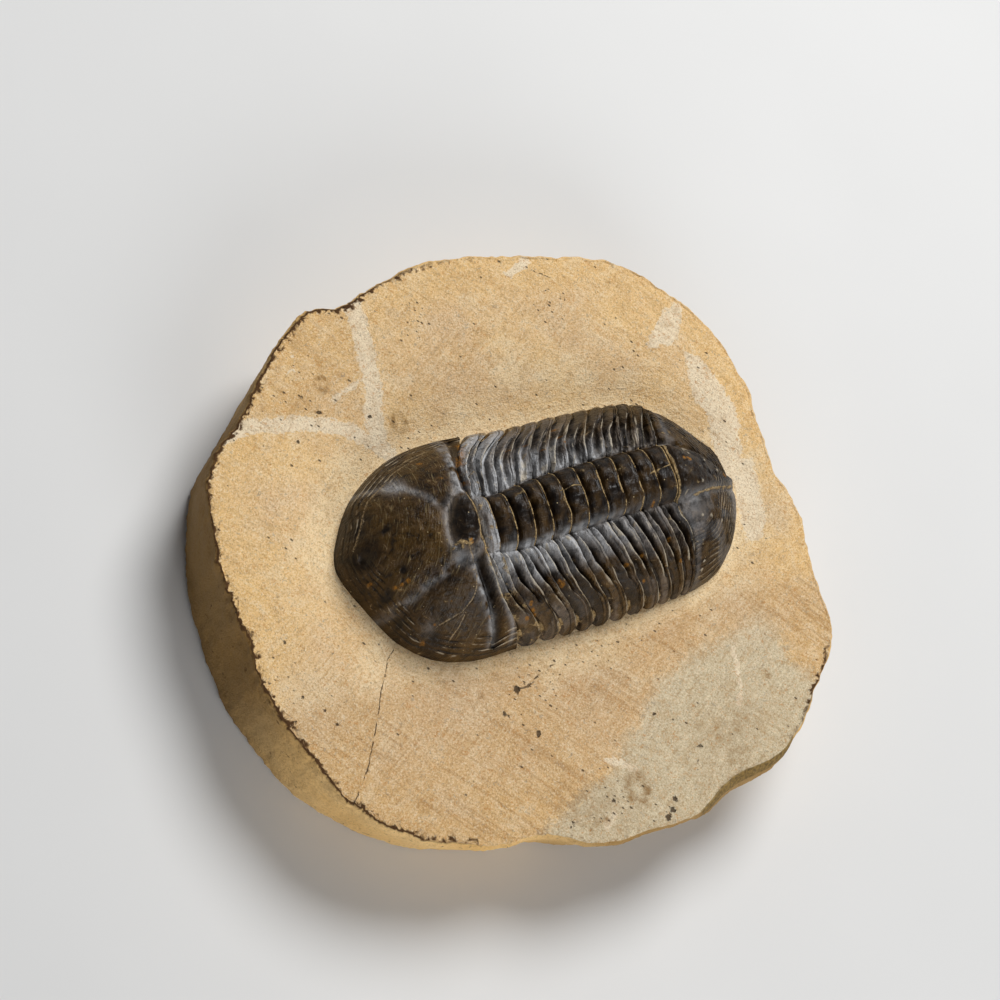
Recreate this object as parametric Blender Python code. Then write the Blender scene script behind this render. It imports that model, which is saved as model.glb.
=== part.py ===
"""A trilobite on the slab of limestone it was prepared from, lying on its back face, fossil up.

The fossil has its own plan frame in millimetres: x runs from the front of the head to the tip of the
tail, y across to the animal's right flank, z up from the slab's flat back. The slab's outline is drawn in
the same frame, and at the end everything moves so that the slab's bounding box stands on the origin.
"""
import math

import bmesh
import bpy
import numpy as np

MM = 0.001
GAP = 0.35

# The slab of matrix
FACE_LEVEL = 17.2
FACE_TILT = 0.02
SLAB_FACE = [
    (-7.7, 25.5), (-3.5, 29.7), (0.3, 34.1), (5.9, 38.6), (10.1, 40.1), (13.7, 39.9), (18.8, 41.5), (25.8, 43.5),
    (30.2, 43.8), (39.5, 42.9), (47.7, 41.2), (57.5, 38.8), (63.7, 34.7), (70.8, 25.7), (73.9, 15.6), (73.8, 1.5),
    (75.4, -8.2), (74.3, -17.4), (73.8, -27.0), (68.6, -33.8), (62.2, -40.0), (57.4, -42.6), (49.6, -43.8),
    (42.4, -47.2), (32.3, -47.4), (26.1, -47.2), (21.5, -45.1), (16.7, -43.4), (10.3, -43.1), (1.1, -39.7),
    (-6.7, -33.7), (-12.3, -23.6), (-15.7, -12.5), (-15.4, -5.7), (-16.1, 1.7), (-15.4, 14.3), (-12.3, 21.4),
]
SLAB_CENTRE = (30.0, -1.0)
SLAB_SPOKES = 84
BED_CLEARANCE = 0.45
FACE_RIPPLE = 0.25
FACE_RING_SHARES = (0.0, 0.10, 0.24, 0.5, 0.8)
RIM_ROUND = 0.9
DISH_WIDTH = 4.0
DISH_DROP = 0.25

# How far the back is in from the face, by direction, and the waves of the broken wall (count, height, phase)
BACK_INSET = [(-180, -1.4), (-176, -1.9), (-168, -0.9), (-157, 0.1), (-148, 0.8), (-140, 2.1), (-128, 3.1),
              (-118, 3.0), (-108, 1.9), (-90, 3.5), (-60, 3.0), (-30, 2.0), (60, 1.5), (120, 1.0), (140, 0.1),
              (157, 0.9), (168, 0.0), (174, -0.8), (180, -1.4)]
WALL_WAVES = [(5, 0.5, 1.0), (11, 0.35, 0.0), (17, 0.25, 2.0)]
BACK_BEVEL = 0.8

# Rings of the wall: share of the height, then of the inset, the waves and the chip's width
WALL_RINGS = [(0.55, 0.45, 0.3, 0.6), (0.22, 0.8, 0.4, 0.0)]

# A flake broken from the rim left a facet that slopes outwards
CHIP_HALF_ANGLE = math.radians(13)
CHIP_MIDDLE_ANGLE = math.radians(-63)
CHIP_OUT = 2.0
CHIP_DROP = 3.2
CHIP_SAG = 0.2

# The fossil's outline in plan, from the front of the head round the right flank
FOSSIL_OUTLINE = [
    (0.7, 1.5), (2.7, 6.7), (6.6, 11.6), (13.4, 15.6), (21.1, 16.8), (31.0, 16.1), (41.0, 16.2), (49.4, 16.0),
    (54.5, 14.8), (60.7, 9.6), (65.2, 3.6), (66.2, -1.5), (65.1, -6.0), (62.0, -10.8), (56.9, -14.2),
    (47.7, -15.6), (36.6, -16.2), (24.0, -16.2), (17.6, -16.4), (11.5, -15.0), (6.7, -11.4), (3.1, -5.2),
]
BED_LEVEL = 13.6
MARGIN_LEVEL = 15.9
MARGIN_ROLL = 0.03
HEAD_CENTRE = 20.0
TAIL_CENTRE = 51.0
CREST = [(18, 15.6), (30, 16.0), (42, 15.2), (51, 13.0)]

# Sections of the shell's height, from the middle line (0) to the margin (1)
HEAD_SECTION = [(0, 1.0), (0.3, 0.95), (0.5, 0.84), (0.7, 0.64), (0.85, 0.40), (1, 0.04)]
FRONT_SECTION = [(0, 1.0), (0.37, 0.88), (0.68, 0.61), (0.895, 0.31), (1, 0.04)]
THORAX_SECTION = [(0, 1.0), (0.13, 0.975), (0.24, 0.89), (0.28, 0.81), (0.34, 0.82), (0.5, 0.77),
                  (0.66, 0.66), (0.8, 0.47), (0.9, 0.29), (1, 0.04)]
TAIL_SECTION = [(0, 1.0), (0.2, 0.93), (0.5, 0.69), (0.75, 0.43), (0.9, 0.22), (1, 0.04)]

# The joints between the shell's pieces: joint 0 is behind the head, joint 11 in front of the tail
SEGMENTS = 11
JOINT_ON_AXIS = [(0, 18.0), (1, 20.1), (2, 23.1), (5, 31.7), (8, 41.2), (11, 51.0)]
JOINT_AT_MARGIN = [(0, 24.5), (1, 28.2), (2, 31.3), (5, 39.7), (8, 48.0), (11, 54.0)]
JOINT_SWEEP = [(0, 0), (0.28, 0.04), (0.42, 0.10), (0.55, 0.19), (0.7, 0.41), (0.85, 0.74), (1, 1)]
JOINT_SKEW = 0.8
RING_SHARE = 0.28

# Relief of a segment: its ring and pleurae rise to the rear, and a furrow crosses each pleura
RING_STEP = 0.75
RING_EDGE = 0.03
PLEURA_STEP = 0.45
PLEURA_EDGE = 0.06
STEP_TOP = 0.85
PLEURAL_FURROW = 0.75
PLEURAL_FURROW_START = 0.30
PLEURAL_FURROW_DRIFT = 0.35
PLEURAL_FURROW_HALF_WIDTH = 0.17
PLEURAL_FURROW_ENDS = (0.72, 0.9)
TIP_ROUND = 0.035
TIP_RELIEF = 0.25
AXIAL_FURROW = 0.7
AXIAL_FURROW_HALF_WIDTH = 0.03

# Relief of the head: eyes and pit are (x, y, radius, lift)
GLABELLA_FURROW_RIGHT = [(6.1, 11.4), (8.4, 10.5), (11.1, 8.7), (12.5, 6.6), (13.8, 4.4), (14.2, 2.8)]
GLABELLA_FURROW_LEFT = [(4.0, -7.3), (6.9, -7.1), (9.3, -6.0), (12.0, -5.0), (13.6, -4.2)]
BORDER_FURROW_RIGHT = [(17.6, 5.6), (18.3, 6.8), (20.2, 10.6), (22.6, 13.6), (23.4, 15.0)]
BORDER_FURROW_LEFT = [(16.6, -4.6), (17.3, -7.4), (18.8, -12.0), (19.8, -15.0)]
GLABELLA_FURROW_DEPTH = 0.5
BORDER_FURROW_DEPTH = 1.0
FURROW_HALF_WIDTH = 1.2
OCCIPITAL_FRONT = 14.4
OCCIPITAL_RISE = 1.6
OCCIPITAL_SIDES = (2.6, 4.6)
OCCIPITAL_LIFT = 0.8
OCCIPITAL_GROOVE = 0.45
EYES_AND_PIT = [(14.4, -3.6, 1.0, 0.8), (14.6, 4.5, 1.0, -0.7), (3.0, 0.9, 0.9, -0.6)]

# Relief of the tail: its axis narrows from one half width to another and leans towards the right flank
TAIL_AXIS_END = 64.0
TAIL_AXIS_HALF_WIDTHS = (4.3, 1.4)
TAIL_AXIS_LEAN = 0.6
TAIL_AXIS_SHOULDER = (-0.9, 0.6)
TAIL_AXIS_LIFT = 1.3
TAIL_AXIS_SINK = 0.4
TAIL_FURROW_DEPTH = 0.35
TAIL_FURROW_HALF_WIDTH = 0.7

SHELL_COLOURS = {"cephalon": (0.045, 0.034, 0.024), "pygidium": (0.050, 0.040, 0.030)}
SEGMENT_COLOUR = (0.040, 0.033, 0.028)
MATRIX_COLOUR = (0.56, 0.42, 0.25)


def through(stations, x):
    """A smooth curve through stations that never swings past them."""
    points = np.asarray(stations, float)
    xs = points[:, 0]
    ys = points[:, 1]
    step = np.diff(xs)
    slope = np.diff(ys) / step
    tangent = np.concatenate([slope[:1], np.zeros(len(xs) - 2), slope[-1:]])
    for i in range(1, len(xs) - 1):
        if slope[i - 1] * slope[i] > 0:
            before = 2 * step[i] + step[i - 1]
            after = step[i] + 2 * step[i - 1]
            tangent[i] = (before + after) / (before / slope[i - 1] + after / slope[i])
    x = np.clip(np.asarray(x, float), xs[0], xs[-1])
    i = np.clip(np.searchsorted(xs, x, side="right") - 1, 0, len(step) - 1)
    t = (x - xs[i]) / step[i]
    start = (1 + 2 * t) * (1 - t) ** 2 * ys[i] + t * (1 - t) ** 2 * step[i] * tangent[i]
    end = t * t * (3 - 2 * t) * ys[i + 1] + t * t * (t - 1) * step[i] * tangent[i + 1]
    return start + end


def closed_curve(points, per_span=24):
    """A closed Catmull-Rom curve through points."""
    p = np.array(points, float)
    t = np.linspace(0, 1, per_span, endpoint=False)[None, :, None]
    a, b, c, d = (np.roll(p, 1 - k, axis=0)[:, None, :] for k in range(4))
    curve = 0.5 * (2 * b + (c - a) * t + (2 * a - 5 * b + 4 * c - d) * t ** 2 + (3 * b - a - 3 * c + d) * t ** 3)
    return curve.reshape(-1, 2)


def reach_by_angle(curve, centre, angle):
    """How far a closed curve is from a centre inside it, in each direction."""
    offset = curve - np.asarray(centre, float)
    direction = np.arctan2(offset[:, 1], offset[:, 0])
    return np.interp(angle, *sorted_pair(direction, np.linalg.norm(offset, axis=1)), period=2 * math.pi)


def sorted_pair(keys, values):
    order = np.argsort(keys)
    return keys[order], values[order]


def smooth(low, high, x):
    """0 below low, 1 above high, and an even slope between."""
    t = np.clip((x - low) / (high - low), 0, 1)
    return t * t * (3 - 2 * t)


def distance_to_path(points, x, y):
    """Distance in plan from each (x, y) to a path of straight stretches."""
    best = np.full(np.shape(x), np.inf)
    for (x0, y0), (x1, y1) in zip(points, points[1:]):
        length = (x1 - x0) ** 2 + (y1 - y0) ** 2
        t = np.clip(((x - x0) * (x1 - x0) + (y - y0) * (y1 - y0)) / length, 0, 1)
        best = np.minimum(best, np.hypot(x - x0 - t * (x1 - x0), y - y0 - t * (y1 - y0)))
    return best


OUTLINE = closed_curve(FOSSIL_OUTLINE)


def half_width(x, side):
    """Distance from the middle line to the margin, on the side that the sign of side gives."""
    right = OUTLINE[OUTLINE[:, 1] >= 0]
    left = OUTLINE[OUTLINE[:, 1] < 0]
    to_right = np.interp(x, *sorted_pair(right[:, 0], right[:, 1]))
    to_left = np.interp(x, *sorted_pair(left[:, 0], -left[:, 1]))
    return np.where(side >= 0, to_right, to_left)


def outwardness(x, y):
    """0 on the middle line and 1 on the margin, and rings round a centre in the head and the tail."""
    in_head = np.hypot(x - HEAD_CENTRE, y) / reach_by_angle(OUTLINE, (HEAD_CENTRE, 0), np.arctan2(y, x - HEAD_CENTRE))
    in_tail = np.hypot(x - TAIL_CENTRE, y) / reach_by_angle(OUTLINE, (TAIL_CENTRE, 0), np.arctan2(y, x - TAIL_CENTRE))
    between = np.abs(y) / half_width(x, y)
    share = np.where(x < HEAD_CENTRE, in_head, np.where(x > TAIL_CENTRE, in_tail, between))
    return np.clip(share, 0, 1)


def shell_level(x, y):
    """Height of the smooth shell, before its relief."""
    share = outwardness(x, y)
    centre = np.clip(x, HEAD_CENTRE, TAIL_CENTRE)
    endways = np.cos(np.arctan2(y, x - centre)) ** 2 * (x != centre)
    end = np.where(x < HEAD_CENTRE, through(FRONT_SECTION, share), through(TAIL_SECTION, share))
    ringed = smooth(15, 23, x)
    across = through(HEAD_SECTION, share) * (1 - ringed) + through(THORAX_SECTION, share) * ringed
    rise = end * endways + across * (1 - endways)
    return MARGIN_LEVEL + MARGIN_ROLL * y + through(CREST, x) * rise


def joint(number, v):
    """Where joint number crosses lateral share v (-1 the left margin, 1 the right), along the animal."""
    on_axis = through(JOINT_ON_AXIS, number)
    at_margin = through(JOINT_AT_MARGIN, number)
    sweep = through(JOINT_SWEEP, np.abs(v))
    return on_axis + (at_margin - on_axis + JOINT_SKEW * np.sign(v)) * sweep


def joint_line(number, v, shift=0.0):
    x = joint(number, v) + shift
    return x, v * half_width(x, v)


def head_front(v):
    """The free margin of the head, from the left cheek's corner round the front to the right one's."""
    left_x, left_y = joint_line(0, -1.0, -GAP / 2 - 0.8)
    right_x, right_y = joint_line(0, 1.0, -GAP / 2 - 0.8)
    start = math.atan2(float(left_y), float(left_x) - HEAD_CENTRE) + 2 * math.pi
    end = math.atan2(float(right_y), float(right_x) - HEAD_CENTRE)
    angle = start + (end - start) * (v + 1) / 2
    reach = reach_by_angle(OUTLINE, (HEAD_CENTRE, 0), angle)
    return HEAD_CENTRE + reach * np.cos(angle), reach * np.sin(angle)


def tail_back(v):
    """The free margin of the tail, from its left corner round the tip to its right one."""
    left_x, left_y = joint_line(SEGMENTS, -1.0, GAP / 2 + 0.8)
    right_x, right_y = joint_line(SEGMENTS, 1.0, GAP / 2 + 0.8)
    start = math.atan2(float(left_y), float(left_x) - TAIL_CENTRE)
    end = math.atan2(float(right_y), float(right_x) - TAIL_CENTRE)
    angle = start + (end - start) * (v + 1) / 2
    reach = reach_by_angle(OUTLINE, (TAIL_CENTRE, 0), angle)
    return TAIL_CENTRE + reach * np.cos(angle), reach * np.sin(angle)


def head_relief(x, y):
    """The glabella's furrows, the occipital ring, the eyes and the furrow along the head's rear border."""
    relief = np.zeros(np.shape(x))
    for path in (GLABELLA_FURROW_LEFT, GLABELLA_FURROW_RIGHT):
        relief -= GLABELLA_FURROW_DEPTH * np.exp(-(distance_to_path(path, x, y) / FURROW_HALF_WIDTH) ** 2)
    for path in (BORDER_FURROW_LEFT, BORDER_FURROW_RIGHT):
        relief -= BORDER_FURROW_DEPTH * np.exp(-(distance_to_path(path, x, y) / FURROW_HALF_WIDTH) ** 2)
    on_ring = 1 - smooth(*OCCIPITAL_SIDES, np.abs(y))
    relief += OCCIPITAL_LIFT * on_ring * smooth(OCCIPITAL_FRONT, OCCIPITAL_FRONT + OCCIPITAL_RISE, x)
    relief -= OCCIPITAL_GROOVE * on_ring * np.exp(-(x - OCCIPITAL_FRONT) ** 2)
    for hollow_x, hollow_y, radius, lift in EYES_AND_PIT:
        relief += lift * np.exp(-((x - hollow_x) ** 2 + (y - hollow_y) ** 2) / radius ** 2)
    return relief


def segment_relief(u, v):
    """One segment's shingled ring and furrowed pleurae; u runs from its front joint (0) to its rear one (1)."""
    side = np.abs(v)
    ring = 1 - smooth(RING_SHARE - RING_EDGE, RING_SHARE + RING_EDGE, side)
    pleura = smooth(RING_SHARE, RING_SHARE + PLEURA_EDGE, side)
    step = (RING_STEP * ring + PLEURA_STEP * pleura) * (smooth(0, STEP_TOP, u) - 0.5)
    furrow_line = PLEURAL_FURROW_START + PLEURAL_FURROW_DRIFT * smooth(RING_SHARE, STEP_TOP, side)
    furrow = np.exp(-((u - furrow_line) / PLEURAL_FURROW_HALF_WIDTH) ** 2) * pleura
    furrow = furrow * (1 - smooth(*PLEURAL_FURROW_ENDS, side))
    axial = np.exp(-((side - RING_SHARE) / AXIAL_FURROW_HALF_WIDTH) ** 2)
    return step - PLEURAL_FURROW * furrow - AXIAL_FURROW * axial


def tail_relief(x, y):
    """The tail's tapering axis, low between two shallow furrows."""
    along = np.clip((x - TAIL_CENTRE) / (TAIL_AXIS_END - TAIL_CENTRE), 0, 1)
    half = TAIL_AXIS_HALF_WIDTHS[0] + (TAIL_AXIS_HALF_WIDTHS[1] - TAIL_AXIS_HALF_WIDTHS[0]) * along
    outside = np.abs(y - TAIL_AXIS_LEAN * along) - half
    inside = 1 - smooth(*TAIL_AXIS_SHOULDER, outside)
    furrow = np.exp(-(outside / TAIL_FURROW_HALF_WIDTH) ** 2)
    fade = 1 - smooth(0.85, 1.0, along)
    lift = TAIL_AXIS_LIFT * (inside - TAIL_AXIS_SINK) * smooth(0.0, 0.5, along)
    return fade * (lift - TAIL_FURROW_DEPTH * furrow)


def clear_scene():
    for thing in list(bpy.data.objects):
        bpy.data.objects.remove(thing, do_unlink=True)


def material(name, colour, roughness):
    made = bpy.data.materials.new(name)
    made.use_nodes = True
    shader = made.node_tree.nodes["Principled BSDF"]
    shader.inputs["Base Color"].default_value = (*colour, 1.0)
    shader.inputs["Roughness"].default_value = roughness
    shader.inputs["Metallic"].default_value = 0.0
    return made


def add_object(name, mesh_data, collection, finish):
    bmesh.ops.recalc_face_normals(mesh_data, faces=mesh_data.faces)
    mesh = bpy.data.meshes.new(name)
    mesh_data.to_mesh(mesh)
    mesh_data.free()
    mesh.materials.append(finish)
    mesh.shade_smooth()
    mesh.set_sharp_from_angle(angle=math.radians(50))
    made = bpy.data.objects.new(name, mesh)
    collection.objects.link(made)
    return made


def shell_piece(name, columns, rows, place, collection, finish):
    """A grid laid on the shell by place(u, v), walled down to the bed and closed underneath."""
    solid = bmesh.new()
    bmesh.ops.create_grid(solid, x_segments=columns, y_segments=rows, size=1.0)
    flat = np.array([vertex.co for vertex in solid.verts])
    points = np.stack(place((flat[:, 1] + 1) / 2, flat[:, 0]), axis=1)
    for vertex, point in zip(solid.verts, points):
        vertex.co = point
    rim = [edge for edge in solid.edges if edge.is_boundary]
    walls = bmesh.ops.extrude_edge_only(solid, edges=rim)["geom"]
    for part in walls:
        if isinstance(part, bmesh.types.BMVert):
            part.co.z = BED_LEVEL + GAP
    foot = [part for part in walls if isinstance(part, bmesh.types.BMEdge) and part.is_boundary]
    bmesh.ops.contextual_create(solid, geom=foot)
    return add_object(name, solid, collection, finish)


def between(front, rear, u):
    return tuple(a + (b - a) * u for a, b in zip(front, rear))


def place_head(u, v):
    x, y = between(head_front(v), joint_line(0, v, -GAP / 2), u)
    return x, y, shell_level(x, y) + head_relief(x, y) * smooth(1.0, 0.85, outwardness(x, y))


def place_tail(u, v):
    x, y = between(joint_line(SEGMENTS, v, GAP / 2), tail_back(v), u)
    return x, y, shell_level(x, y) + tail_relief(x, y)


def place_segment(number):
    def place(u, v):
        front = joint_line(number - 1, v, GAP / 2)
        rear = joint_line(number, v, -GAP / 2)
        x, y = between(front, rear, u)
        rounding = TIP_ROUND * smooth(0.75, 1.0, np.abs(v)) * (2 * u - 1) ** 2
        y = y * (1 - rounding)
        fade = smooth(1.0, 0.9, np.abs(v))
        return x, y, shell_level(x, y) + segment_relief(u, v) * (TIP_RELIEF + (1 - TIP_RELIEF) * fade)
    return place


def slab_ring(reach, level, angles):
    """One ring of the slab: reach and level for each spoke."""
    x = SLAB_CENTRE[0] + reach * np.cos(angles)
    y = SLAB_CENTRE[1] + reach * np.sin(angles)
    return np.stack([x, y, np.broadcast_to(level, x.shape)], axis=1)


def face_level(x, y, away):
    """Height of the slab's face, which dishes down to the shell's margin over a short way."""
    plain = FACE_LEVEL + FACE_TILT * y + FACE_RIPPLE * np.sin(x / 9.0) * np.sin(y / 11.0 + 1.0)
    at_margin = MARGIN_LEVEL + MARGIN_ROLL * y - DISH_DROP
    return plain - (plain - at_margin) * np.exp(-(away / DISH_WIDTH) ** 2)


def slab_rings():
    """The slab's sections from the middle of the fossil's bed, over the rim, to the middle of the back."""
    angles = np.linspace(-math.pi, math.pi, SLAB_SPOKES, endpoint=False)
    face = reach_by_angle(closed_curve(SLAB_FACE), SLAB_CENTRE, angles)
    bed = reach_by_angle(OUTLINE, SLAB_CENTRE, angles) + BED_CLEARANCE
    chip = np.clip(1 - np.abs(angles - CHIP_MIDDLE_ANGLE) / CHIP_HALF_ANGLE, 0, 1) ** 0.5
    rough = sum(height * np.sin(count * angles + phase) for count, height, phase in WALL_WAVES)
    inset = through(BACK_INSET, np.degrees(angles))
    rings = [slab_ring(bed, BED_LEVEL, angles)]
    for share in FACE_RING_SHARES:
        ring = slab_ring(bed + (face - bed) * share, 0.0, angles)
        ring[:, 2] = face_level(ring[:, 0], ring[:, 1], (face - bed) * share)
        rings.append(ring)
    edge = slab_ring(face, 0.0, angles)
    edge_level = face_level(edge[:, 0], edge[:, 1], face - bed)
    rings.append(slab_ring(face - RIM_ROUND * 0.8, edge_level - CHIP_SAG * chip, angles))
    rings.append(slab_ring(face + CHIP_OUT * chip, edge_level - RIM_ROUND - CHIP_DROP * chip, angles))
    for height_share, inset_share, wave_share, chip_share in WALL_RINGS:
        reach = face - inset_share * inset + wave_share * rough + chip_share * CHIP_OUT * chip
        rings.append(slab_ring(reach, height_share * edge_level, angles))
    rings.append(slab_ring(face - inset + 0.4 * rough, BACK_BEVEL, angles))
    rings.append(slab_ring(face - inset - BACK_BEVEL + 0.3 * rough, 0.0, angles))
    return rings


def build_slab(collection, finish):
    """Rings bridged into one broken block, with a flat bed under the fossil and a flat back."""
    solid = bmesh.new()
    loops = []
    for ring in slab_rings():
        verts = [solid.verts.new(point) for point in ring]
        loops.append([solid.edges.new((a, b)) for a, b in zip(verts, verts[1:] + verts[:1])])
    for inner, outer in zip(loops, loops[1:]):
        bmesh.ops.bridge_loops(solid, edges=inner + outer)
    for edges in (loops[0], loops[-1]):
        bmesh.ops.contextual_create(solid, geom=edges)
    return add_object("matrix_slab", solid, collection, finish)


def stand_on_origin(pieces, slab):
    """Scales millimetres to metres and centres the slab's bounding box over the origin."""
    points = np.array([vertex.co for vertex in slab.data.vertices])
    middle = (points.min(axis=0) + points.max(axis=0)) / 2
    for piece in pieces:
        for vertex in piece.data.vertices:
            vertex.co.x = (vertex.co.x - middle[0]) * MM
            vertex.co.y = (vertex.co.y - middle[1]) * MM
            vertex.co.z = vertex.co.z * MM
        piece.data.update()
    return middle


def main():
    clear_scene()
    collection = bpy.data.collections.new("trilobite_on_matrix")
    bpy.context.scene.collection.children.link(collection)
    slab = build_slab(collection, material("limestone_matrix", MATRIX_COLOUR, 0.92))
    pieces = [slab]
    finish = material("cephalon_shell", SHELL_COLOURS["cephalon"], 0.42)
    pieces.append(shell_piece("cephalon", 40, 14, place_head, collection, finish))
    for number in range(1, SEGMENTS + 1):
        name = f"thoracic_segment_{number:02d}"
        finish = material(name + "_shell", SEGMENT_COLOUR, 0.42)
        pieces.append(shell_piece(name, 30, 4, place_segment(number), collection, finish))
    finish = material("pygidium_shell", SHELL_COLOURS["pygidium"], 0.42)
    pieces.append(shell_piece("pygidium", 28, 10, place_tail, collection, finish))
    return stand_on_origin(pieces, slab)


MIDDLE = main()
print("middle of the slab in the fossil's plan frame, mm:", MIDDLE)
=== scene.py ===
# %% [markdown]
# # A trilobite in its limestone
# The real object is a fossil from the sea floor of the Ordovician: a dark, mineralised trilobite that a
# preparator has freed from a slab of tan limestone with an air pen. It comes as a solid model in
# fourteen pieces. Here each piece gets a finer surface in the same place, and a finish made of nodes.
# First the solid model is loaded, each part's placement is applied to its mesh, and what is not a mesh is
# removed.

# %% Load the part
import math

import bpy
import numpy as np
from mathutils import Matrix, Vector


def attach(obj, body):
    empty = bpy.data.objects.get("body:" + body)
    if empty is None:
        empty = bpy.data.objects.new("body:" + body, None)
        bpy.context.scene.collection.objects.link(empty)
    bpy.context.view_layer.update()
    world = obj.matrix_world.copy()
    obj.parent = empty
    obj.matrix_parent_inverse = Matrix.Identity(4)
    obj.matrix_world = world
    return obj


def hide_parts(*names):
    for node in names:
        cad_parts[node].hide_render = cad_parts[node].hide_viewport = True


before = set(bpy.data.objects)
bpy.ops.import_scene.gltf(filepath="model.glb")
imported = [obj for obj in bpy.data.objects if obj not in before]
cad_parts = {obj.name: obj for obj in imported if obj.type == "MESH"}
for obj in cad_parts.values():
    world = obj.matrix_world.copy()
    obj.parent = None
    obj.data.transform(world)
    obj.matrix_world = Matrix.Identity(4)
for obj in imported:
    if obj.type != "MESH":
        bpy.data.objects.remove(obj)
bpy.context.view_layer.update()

# %% [markdown]
# The fossil is drawn in a plan frame of its own, in millimetres: x runs from the front of the head to the
# tip of the tail, y across to the animal's right flank, z up from the slab's back. Drawing in real
# millimetres keeps every number readable with a ruler. One function moves finished points to the scene.

# %% Millimetres on the slab
MM = 0.001
SLAB_MIDDLE = np.array([29.143, -1.896, 0.0])


def to_scene(points):
    """Points of the plan frame, in millimetres, as the scene's metres."""
    return (np.asarray(points, float) - SLAB_MIDDLE) * MM


print("head's front at", to_scene([0, 0, 16]), "m")

# %% [markdown]
# The camera looks at the slab's face from the head's side, 27 degrees off its normal, through a long lens,
# as product photographs are taken. Three angles say how the slab leans in the picture: how far its face
# tips away from the lens, towards where, and which way the animal points. A long lens keeps the
# perspective weak, so the ribs stay parallel.

# %% Camera
LENS, SENSOR, NEAREST = 100.0, 36.0, 0.01
CAMERA_PLACE = Vector((-166.26, -77.97, 382.62)) * MM
SLAB_LEAN, LEAN_TOWARD, FOSSIL_TURN = 27.0, 44.0, 13.9
lean, toward, turn = (math.radians(angle) for angle in (SLAB_LEAN, LEAN_TOWARD, FOSSIL_TURN))
normal = Vector((math.sin(lean) * math.cos(toward), math.sin(lean) * math.sin(toward), math.cos(lean)))
along = Vector((math.cos(turn), math.sin(turn), 0.0))
along.z = -along.dot(normal) / normal.z
along.normalize()
camera = bpy.data.objects.new("camera", bpy.data.cameras.new("camera"))
bpy.context.scene.collection.objects.link(camera)
camera.data.lens, camera.data.sensor_width, camera.data.clip_start = LENS, SENSOR, NEAREST
camera.matrix_world = Matrix.Translation(CAMERA_PLACE) @ Matrix((along, normal.cross(along), normal)).to_4x4()
bpy.context.scene.camera = camera
print("camera to the slab's middle:", round(CAMERA_PLACE.length, 3), "m")

# %% [markdown]
# Nothing on a fossil is straight, so every outline is a smooth curve through a few measured points. One
# curve helper makes sections and another makes closed outlines. A Bezier curve object could do the same,
# but the points are also needed as numbers, to know how far any spot is from an edge.

# %% Curves through measured points
def through(stations, x):
    """A smooth curve through stations that never swings past them."""
    xs, ys = np.asarray(stations, float).T
    step = np.diff(xs)
    slope = np.diff(ys) / step
    tangent = np.concatenate([slope[:1], np.zeros(len(xs) - 2), slope[-1:]])
    for i in range(1, len(xs) - 1):
        if slope[i - 1] * slope[i] > 0:
            before = 2 * step[i] + step[i - 1]
            after = step[i] + 2 * step[i - 1]
            tangent[i] = (before + after) / (before / slope[i - 1] + after / slope[i])
    x = np.clip(np.asarray(x, float), xs[0], xs[-1])
    i = np.clip(np.searchsorted(xs, x, side="right") - 1, 0, len(step) - 1)
    t = (x - xs[i]) / step[i]
    start = (1 + 2 * t) * (1 - t) ** 2 * ys[i] + t * (1 - t) ** 2 * step[i] * tangent[i]
    end = t * t * (3 - 2 * t) * ys[i + 1] + t * t * (t - 1) * step[i] * tangent[i + 1]
    return start + end


def catmull_rom(a, b, c, d, t):
    """The share t of the way from b to c, on a curve that also minds the points before and after."""
    square, cube = 2 * a - 5 * b + 4 * c - d, 3 * b - a - 3 * c + d
    return 0.5 * (2 * b + (c - a) * t + square * t ** 2 + cube * t ** 3)


def closed_curve(points, per_span=24):
    """A closed Catmull-Rom curve through points."""
    t = np.linspace(0, 1, per_span, endpoint=False)[None, :, None]
    neighbours = (np.roll(np.array(points, float), 1 - k, axis=0)[:, None, :] for k in range(4))
    return catmull_rom(*neighbours, t).reshape(-1, 2)


def sorted_pair(keys, values):
    order = np.argsort(keys)
    return keys[order], values[order]


def reach_by_angle(curve, centre, angle):
    """How far a closed curve is from a centre inside it, in each direction."""
    offset = curve - np.asarray(centre, float)
    direction = np.arctan2(offset[:, 1], offset[:, 0])
    return np.interp(angle, *sorted_pair(direction, np.linalg.norm(offset, axis=1)), period=2 * math.pi)


def smooth(low, high, x):
    """0 below low, 1 above high, and an even slope between."""
    t = np.clip((x - low) / (high - low), 0, 1)
    return t * t * (3 - 2 * t)


def bell(x, middle, width):
    """1 where x is at the middle, falling evenly to 0 about two widths off."""
    return np.exp(-((x - middle) / width) ** 2)


print("half way up a soft step:", float(smooth(0.0, 1.0, 0.5)))

# %% [markdown]
# Cracks, sutures, furrows and stains are drawn as short paths on the plan, as a preparator would sketch
# them. For each point of a surface the nearest distance to such a path decides how deep the furrow is
# there. A distance with a sign, left or right of the path, lets a finish draw a line that is thinner than
# the mesh, because it passes evenly through zero.

# %% Distances to drawn lines
FAR_OFF = 9.0


def beside_path(points, x, y):
    """Distance in plan to a path of straight stretches, negative on its right-hand side."""
    best = np.full(np.shape(x), np.inf)
    side = np.ones(np.shape(x))
    for (x0, y0), (x1, y1) in zip(points, points[1:]):
        dx, dy = x1 - x0, y1 - y0
        t = np.clip(((x - x0) * dx + (y - y0) * dy) / (dx * dx + dy * dy), 0, 1)
        away = np.hypot(x - x0 - t * dx, y - y0 - t * dy)
        nearer = away < best
        side = np.where(nearer, np.sign(dx * (y - y0) - dy * (x - x0)), side)
        best = np.where(nearer, away, best)
    return best * np.where(side == 0, 1, side)


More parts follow.
